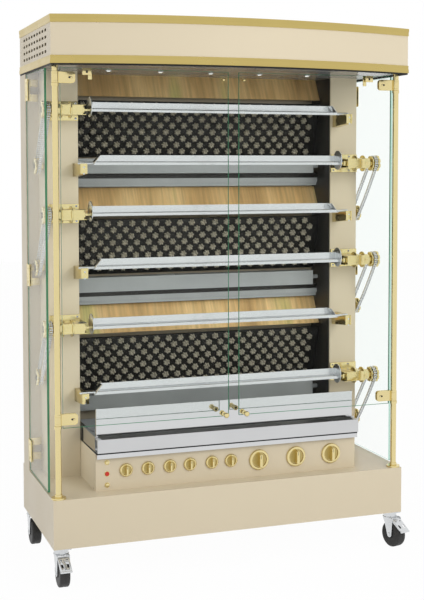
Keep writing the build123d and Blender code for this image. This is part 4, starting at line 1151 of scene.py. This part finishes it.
def control_knob(name, body, radius, grip):
    """A brass knob: a dished disc whose floor is darker brass as painted shade, and an upright grip with a
    dark line.
    """
    place = joint_place(body + "_turn")
    centre = (place.x, 0, place.z)
    piece = Piece(name, body, "brass_polished", BRASS, BLACK_AND_RECESS_SHADE, SHADED_BRASS)
    back = at(PANEL_FRONT) - 0.3
    disc = [
        (back, radius - 1.0), (back - 1.0, radius), (back - 6.0, radius), (back - 8.6, radius - 1.6),
        (back - 9.6, radius * 0.86), (back - 9.0, radius * 0.76), (back - 5.0, radius * 0.7),
    ]
    piece.add(turned(disc, centre, "y", 48))
    # the dish floor in darker brass is painted shade for the recess
    piece.add(drum(centre, "y", back - 5.4, 1.0, radius * 0.68, 0.2, 48), 2)
    half, width = radius * 0.66, radius / 3.4
    bar = [(place.x - v, place.z + u) for u, v in slot_outline(2 * half, width)]
    piece.add(prism(bar, back - 9.0 - grip, grip + 7.0, "y", min(3.0, width / 5)))
    left, right = place.x - 0.7, place.x + 0.7
    low, high = place.z + half * 0.35, place.z + half * 0.85
    line = [(left, low), (right, low), (right, high), (left, high)]
    piece.add(prism(line, back - 9.2 - grip, 0.6, "y"), 1)
    piece.add(drum(centre, "y", back, 14.0, 4.0, 0.4, 20))
    piece.done(body)


def push_button(body):
    """A domed brass button."""
    x, z = node_middle(body)
    front, rear = (corner.y for corner in node_box(body))
    piece = Piece(body + "_cap", body, "button_metal", BRASS)
    dome = [
        (front, 2.0), (front + 0.5, 4.6), (front + 1.6, 6.4), (front + 3.0, 6.9), (rear - 1.0, 6.9),
        (rear, 6.4),
    ]
    piece.add(turned(dome, (x, 0, z), "y", 32))
    piece.done(body)


def panel_bezels():
    """Thin rings round the lamp and the two push buttons."""
    piece = Piece("panel_bezels", "body", "brass_polished", BRASS)
    for node, radius in (
        ("pilot_lamp", LAMP_RADIUS), ("upper_button", BUTTON_RADIUS), ("lower_button", BUTTON_RADIUS),
    ):
        x, z = node_middle(node)
        rim, hole = (arc((0, 0), radius + more, 0, 348, 31) for more in (BEZEL_WIDTH, BEZEL_GAP))
        place = Matrix.Translation((x, at(PANEL_FRONT) - BEZEL_STEEL / 2, z))
        piece.add(moved(cut_plate([rim, hole], BEZEL_STEEL, 0.4), place @ UPRIGHT_Y))
    piece.done()


# Painted shade sheets, and seals

SHIELD_FRONT = 440.2
GAP_TOP, GAP_HEIGHT, GAP_STEEL = 404.0, 19.0, 1.6
WALL_X = 519.4
SHADE_SHEET_FRONT, SHADE_SHEET_LENGTH, SHADE_SHEET_BOTTOM, SHADE_SHEET_STEEL = 320.0, 178.0, 517.0, 2.2
TRAY_SEAL_BOTTOM, TRAY_SEAL_HEIGHT = 452.0, 5.0
TRAY_SEAL_FRONT, TRAY_SEAL_WIDTH = 46.2, 1036.0
SIDE_SEAL_FRONT, SIDE_SEAL_LENGTH = 50.0, 262.0
REAR_SEAL_FRONT, REAR_SEAL_LENGTH, REAR_SEAL_HEIGHT = 272.0, 40.0, 60.0


def burner_slot_shade(top):
    """A near-black sheet over the top of a shield: painted shade standing for the open slot between it and
    the burner box above.
    """
    piece = Piece("burner_gap_%d" % top, "body", "cast_dark", PAINTED_SHADE)
    bottom, width = top - GAP_TOP - GAP_HEIGHT, 2 * SHEET_HALF - 4.0
    # a near-black strip of painted shade where the slot would be dark
    piece.add(block(0, SHIELD_FRONT - GAP_STEEL, bottom, width, GAP_STEEL, GAP_HEIGHT, 0.3))
    piece.done()


def chamber_wall_shade():
    """Near-black sheets on the columns' inner walls, beside the roasting stages: painted shade for the
    walls in shadow.
    """
    piece = Piece("chamber_wall_shade", "body", "cast_dark", PAINTED_SHADE)
    height = CHAMBER_TOP - SHADE_SHEET_BOTTOM - 1.0
    for side in (-1, 1):
        inner = WALL_X - SHADE_SHEET_STEEL
        # each sheet is painted shade on the column's inner wall
        piece.add(span(side, inner, WALL_X, SHADE_SHEET_FRONT, SHADE_SHEET_BOTTOM, SHADE_SHEET_LENGTH, height, 0.4))
    piece.done()


def tray_seals():
    """Black seals between the control box, the tray and the columns."""
    piece = Piece("tray_seals", "body", "black_rubber", BLACK_AND_RECESS_SHADE)
    bottom, height = TRAY_SEAL_BOTTOM, TRAY_SEAL_HEIGHT
    piece.add(block(0, TRAY_SEAL_FRONT, bottom, TRAY_SEAL_WIDTH, 1.0, height, 0.3))
    for side in (-1, 1):
        piece.add(span(side, 516.0, WALL_X, SIDE_SEAL_FRONT, bottom, SIDE_SEAL_LENGTH, height, 0.5))
        rear = (REAR_SEAL_FRONT, bottom, REAR_SEAL_LENGTH, REAR_SEAL_HEIGHT)
        piece.add(span(side, 518.0, WALL_X, *rear, 0.5))
    piece.done()


# Casters

TRAIL, AXLE_HEIGHT = 22.5, 50.0
WHEEL_RADIUS, TREAD_HALF, RIM_RADIUS = 50.0, 18.5, 33.0
FORK_INNER, FORK_STEEL = 20.5, 3.0
FORK_OUTER = FORK_INNER + FORK_STEEL
CROWN_BOTTOM, CROWN_TOP, CROWN_RADIUS = 112.0, 116.0, 28.0
PEDAL_X, PEDAL_HEIGHT, PEDAL_TIP_X, PEDAL_TIP_HEIGHT = 34.0, 109.5, 88.0, 72.0
PEDAL_HALF, PEDAL_STEEL = 20.0, 2.5
PEDAL_HOLE_Y = 10.5
RIVETS, RIVET_RING = 6, 24.0


def caster_place(name):
    """A caster's own frame: its swivel axis at the origin, its wheel towards +X."""
    swivel = joint_place("caster_fork_" + name + "_swivel")
    axle = joint_place("caster_wheel_" + name + "_roll")
    turn = atan2(axle.y - swivel.y, axle.x - swivel.x)
    return Matrix.Translation((swivel.x, swivel.y, 0)) @ Matrix.Rotation(turn, 4, "Z")


def caster_fork(name, place):
    """A raceway cup, two legs with a plate between them, and the wheel's bolt with its nuts."""
    axle = (TRAIL, 0, AXLE_HEIGHT)
    fork = Piece("fork_" + name, "caster_fork_" + name, "zinc_plated", ZINC)
    crown = [
        (CROWN_BOTTOM, 24.0), (CROWN_BOTTOM, CROWN_RADIUS - 1.0), (CROWN_BOTTOM + 0.8, CROWN_RADIUS),
        (CROWN_TOP - 0.8, CROWN_RADIUS), (CROWN_TOP, CROWN_RADIUS - 1.0), (CROWN_TOP, 10.0),
    ]
    fork.add(moved(turned(crown, (0, 0, 0), "z", 40), place))
    ear = (PEDAL_X, PEDAL_HEIGHT)
    rim = arc((TRAIL, AXLE_HEIGHT), 12.0, 200, 345, 10) + [(40.0, 107.0)] + arc(ear, 6.0, -10, 90, 6)
    rim += [(30.0, CROWN_TOP), (-14.0, CROWN_TOP), (-14.0, 108.0), (-6.0, 96.0)]
    pivot_hole = arc(ear, 3.05, 0, 340, 18)
    bolt_hole = arc((TRAIL, AXLE_HEIGHT), 4.0, 0, 340, 18)
    leg = cut_plate([rim, pivot_hole, bolt_hole], FORK_STEEL, 0.6)
    for start in (FORK_INNER, -FORK_OUTER):
        lie = Matrix.Translation((0, start + FORK_STEEL / 2, 0)) @ UPRIGHT_Y
        fork.add(moved(leg, place @ lie))
    fork.add(moved(prism([(4, -23), (27, -23), (27, 23), (4, 23)], 112.2, 3.6, "z", 0.8), place))
    for hand in (-1, 1):
        nut = [(FORK_OUTER, 6.4), (FORK_OUTER + 2.5, 6.4), (FORK_OUTER + 3.1, 5.8), (FORK_OUTER + 3.1, 2.0)]
        fork.add(moved(turned([(hand * out, radius) for out, radius in nut], axle, "y", 6), place))
    fork.add(moved(drum(axle, "y", -26.0, 52.0, 3.9, 0.5, 24), place))
    fork.done("caster_fork_" + name)


def caster_wheel(name, place):
    """A rubber tyre with a groove, on a hub with riveted side discs."""
    axle = (TRAIL, 0, AXLE_HEIGHT)
    wheel = Piece("wheel_" + name, "caster_wheel_" + name, "black_rubber", RUBBER, ZINC, BLACK_AND_RECESS_SHADE)
    shoulder = [(0.0, RIM_RADIUS), (0.0, 44.7), (0.9, 47.2), (2.8, 49.2), (5.3, WHEEL_RADIUS)]
    tyre = [(-TREAD_HALF + along, radius) for along, radius in shoulder]
    tyre += [(-3.0, WHEEL_RADIUS), (-2.4, 49.3), (2.4, 49.3), (3.0, WHEEL_RADIUS)]
    tyre += [(TREAD_HALF - along, radius) for along, radius in shoulder[::-1]]
    wheel.add(moved(turned(tyre, axle, "y", 56), place))
    disc = [
        (15.0, 34.0), (16.5, RIM_RADIUS), (14.5, 30.0), (14.5, 17.0), (16.0, 16.0), (20.0, 15.4),
        (20.2, 14.0), (20.2, 4.3),
    ]
    for hand in (-1, 1):
        wheel.add(moved(turned([(hand * out, radius) for out, radius in disc], axle, "y", 40), place), 2)
        for rivet in range(RIVETS):
            angle = rivet * pi / 3
            spot = (TRAIL + RIVET_RING * cos(angle), 0, AXLE_HEIGHT + RIVET_RING * sin(angle))
            wheel.add(moved(drum(spot, "y", hand * 14.4, hand * 0.5, 3.4, 0.1, 16), place))
    wheel.add(moved(drum(axle, "y", -20.0, 40.0, 15.0, 0.5, 32), place), 1)
    wheel.done("caster_wheel_" + name)


def brake_pedal(name, place):
    """A slotted plate with folded edges, on a pin through the fork's ears, with a rolled tip."""
    body = "brake_pedal_" + name
    piece = Piece("pedal_" + name, body, "zinc_plated", ZINC, BLACK_AND_RECESS_SHADE)
    pivot, tip = Vector((PEDAL_X, 0, PEDAL_HEIGHT)), Vector((PEDAL_TIP_X, 0, PEDAL_TIP_HEIGHT))
    slope = atan2(tip.z - pivot.z, tip.x - pivot.x)
    length = (tip - pivot).length
    lie = place @ Matrix.Translation(pivot) @ Matrix.Rotation(-slope, 4, "Y")
    rim = rounded_outline((0, -PEDAL_HALF), (length, PEDAL_HALF), (3, 5, 5, 3))
    holes = [slot_outline(17.0, 8.0, (length * 0.62, hand * PEDAL_HOLE_Y)) for hand in (-1, 1)]
    plate = cut_plate([rim, *holes], PEDAL_STEEL, 0.7)
    piece.add(moved(plate, lie @ Matrix.Translation((0, 0, PEDAL_STEEL / 2))))
    fold = [(0, -6.0), (length - 6, -2.0), (length - 6, 2.0), (0, 2.0)]
    dimple = [(2.6, 4.5), (3.2, 4.2), (3.3, 3.0), (2.7, 2.0)]
    for hand in (-1, 1):
        spot = (length * 0.22, hand * PEDAL_HOLE_Y, 0)
        piece.add(moved(turned(dimple, spot, "z", 20), lie))
        # black disc in each dimple: painted shade for its hole
        piece.add(moved(drum(spot, "z", 2.6, 0.4, 2.4, 0.05, 16), lie), 1)
        piece.add(moved(prism(fold, hand * PEDAL_HALF - 0.9, 1.8, "y", 0.5), lie))
    piece.add(moved(drum(pivot, "y", -FORK_OUTER, 2 * FORK_OUTER, 3.0, 0.6, 20), place))
    piece.add(moved(drum(tip, "y", -21.0, 42.0, 4.0, 1.2, 20), place))
    piece.done(body)


# Putting it together

for node in ("base_plinth", "rear_cabinet", "side_columns", "canopy_shell", "control_box"):
    dress(node, BEIGE)
for node in ("corner_posts", "hinge_leaves"):
    dress(node, BRASS)
dress("tray_frame", MIRROR)
dress("drip_drawer", SATIN)
dress("canopy_ceiling", CEILING)
dress("flame_hoods", HOOD)
dress("burners", BURNER)
dress("gearmotors", MOTOR)
dress("pilot_lamp", LAMP)
dress("caster_mounts", ZINC)

canopy_mouldings()
ceiling_lamps()
for side, hand in ((-1, "left"), (1, "right")):
    glass_pane("front_pane_" + hand, "front_door_" + hand, "front_door_" + hand)
    edge = GLASS_EDGE if side < 0 else CLEAR_EDGE
    glass_pane("side_pane_" + hand, "side_door_" + hand, "side_door_" + hand, edge)
    front_fittings(side, hand)
    side_hinges(side, hand)
for number, top in enumerate(STAGE_TOPS, 1):
    fireback(number, top)
bearings = Piece("spit_bearing_set", "body", "brass_polished", BRASS, ZINC, BLACK_AND_RECESS_SHADE)
bearing_bodies = {drive: bearing_body(drive) for drive in (-1, 1)}
for number in range(1, 7):
    place = joint_place("spit_%d_spin" % number)
    drive = drive_side(place)
    spit_bar(number, "spit_%d" % number, drive, place.z)
    spit_drive(number, "spit_%d" % number, drive, place.z)
    motor_sprocket(number)
    drive_chain(number)
    bearing(bearings, drive, place.z, bearing_bodies[drive])
    spit_rest(bearings, -drive, place.z)
bearings.done("spit_bearings")
for number in range(1, 7):
    control_knob("motor_knob_turned_%d" % number, "motor_knob_%d" % number, SMALL_KNOB, SMALL_GRIP)
for number in range(1, 4):
    control_knob("gas_knob_turned_%d" % number, "gas_knob_%d" % number, GAS_KNOB, GAS_GRIP)
push_button("upper_button")
push_button("lower_button")
panel_bezels()
tray_seals()
chamber_wall_shade()
for top in STAGE_TOPS[:2]:
    burner_slot_shade(top)
for name in ("front_left", "front_right", "rear_left", "rear_right"):
    place = caster_place(name)
    caster_fork(name, place)
    caster_wheel(name, place)
    if name.startswith("front"):
        brake_pedal(name, place)


# Floor, light and camera

FLOOR_REACH = 14.0
FLOOR_GLOW = 0.975
FILL_LEVEL = 0.5
LAMPS = (
    ("front lamp", (1.6, -4.6, 2.6), 2.4, 115.0),
    ("left lamp", (-4.2, -1.6, 2.6), 2.0, 35.0),
    ("top lamp", (0.4, -0.5, 4.6), 2.5, 40.0),
)
LAMP_AIM = Vector((0, 0, 1.0))
CAMERA_PLACE = (-1.52935, -4.4096, 1.50513)
CAMERA_TILT, CAMERA_TURN = 86.57, -20.5
CAMERA_LENS, CAMERA_SENSOR = 72.85, 36.0
CAMERA_SHIFT = (-0.0561, -0.1078)


def seen_directly(tree):
    """1 for rays from the camera, from a gloss or through glass, and 0 for the rest."""
    rays = tree.nodes.new("ShaderNodeLightPath")
    seen = rays.outputs["Is Camera Ray"]
    for other in ("Is Glossy Ray", "Is Transmission Ray"):
        either = tree.nodes.new("ShaderNodeMath")
        either.operation = "MAXIMUM"
        tree.links.new(seen, either.inputs[0])
        tree.links.new(rays.outputs[other], either.inputs[1])
        seen = either.outputs[0]
    return seen


def floor_finish():
    """Pale matt floor, which shows nearly white to the rays that see it directly."""
    finish = bpy.data.materials.new("pale floor")
    finish.use_nodes = True
    tree = finish.node_tree
    shader = tree.nodes["Principled BSDF"]
    shader.inputs["Base Color"].default_value = (0.86, 0.86, 0.86, 1)
    shader.inputs["Roughness"].default_value = 0.9
    shader.inputs["Specular IOR Level"].default_value = 0.1
    glow = tree.nodes.new("ShaderNodeEmission")
    glow.inputs["Color"].default_value = (1, 1, 1, 1)
    share = tree.nodes.new("ShaderNodeMath")
    share.operation = "MULTIPLY"
    share.inputs[1].default_value = FLOOR_GLOW
    mix = tree.nodes.new("ShaderNodeMixShader")
    tree.links.new(seen_directly(tree), share.inputs[0])
    tree.links.new(share.outputs[0], mix.inputs["Fac"])
    tree.links.new(shader.outputs["BSDF"], mix.inputs[1])
    tree.links.new(glow.outputs["Emission"], mix.inputs[2])
    tree.links.new(mix.outputs["Shader"], tree.nodes["Material Output"].inputs["Surface"])
    return finish


def studio_floor():
    """A square of floor under the casters."""
    mesh = bpy.data.meshes.new("studio_floor")
    corners = [(FLOOR_REACH * x, FLOOR_REACH * y, 0) for x, y in ((-1, -1), (1, -1), (1, 1), (-1, 1))]
    mesh.from_pydata(corners, [], [(0, 1, 2, 3)])
    mesh.materials.append(floor_finish())
    floor = bpy.data.objects.new("studio_floor", mesh)
    bpy.context.scene.collection.objects.link(floor)


def studio_world():
    """White surroundings, dimmer as a light on the object than as a background."""
    world = bpy.data.worlds.new("studio")
    bpy.context.scene.world = world
    world.use_nodes = True
    tree = world.node_tree
    background = tree.nodes["Background"]
    background.inputs["Color"].default_value = (1, 1, 1, 1)
    level = tree.nodes.new("ShaderNodeMapRange")
    level.inputs["To Min"].default_value = FILL_LEVEL
    level.inputs["To Max"].default_value = 1.0
    tree.links.new(seen_directly(tree), level.inputs["Value"])
    tree.links.new(level.outputs["Result"], background.inputs["Strength"])


def studio_lamps():
    """Large soft lamps, which show in no gloss and through no glass."""
    for name, place, size, power in LAMPS:
        data = bpy.data.lights.new(name, "AREA")
        data.size = size
        data.energy = power
        lamp = bpy.data.objects.new(name, data)
        lamp.visible_glossy = False
        lamp.visible_transmission = False
        lamp.location = place
        lamp.rotation_euler = (LAMP_AIM - Vector(place)).to_track_quat("-Z", "Y").to_euler()
        bpy.context.scene.collection.objects.link(lamp)


def photo_camera():
    """The camera at the photograph's viewing angle."""
    data = bpy.data.cameras.new("photo camera")
    data.sensor_width = CAMERA_SENSOR
    data.lens = CAMERA_LENS
    data.shift_x, data.shift_y = CAMERA_SHIFT
    data.clip_end = 60.0
    camera = bpy.data.objects.new("photo camera", data)
    camera.location = CAMERA_PLACE
    camera.rotation_euler = (radians(CAMERA_TILT), 0.0, radians(CAMERA_TURN))
    bpy.context.scene.collection.objects.link(camera)
    bpy.context.scene.camera = camera


bpy.context.scene.view_settings.view_transform = "Standard"
studio_floor()
studio_world()
studio_lamps()
photo_camera()
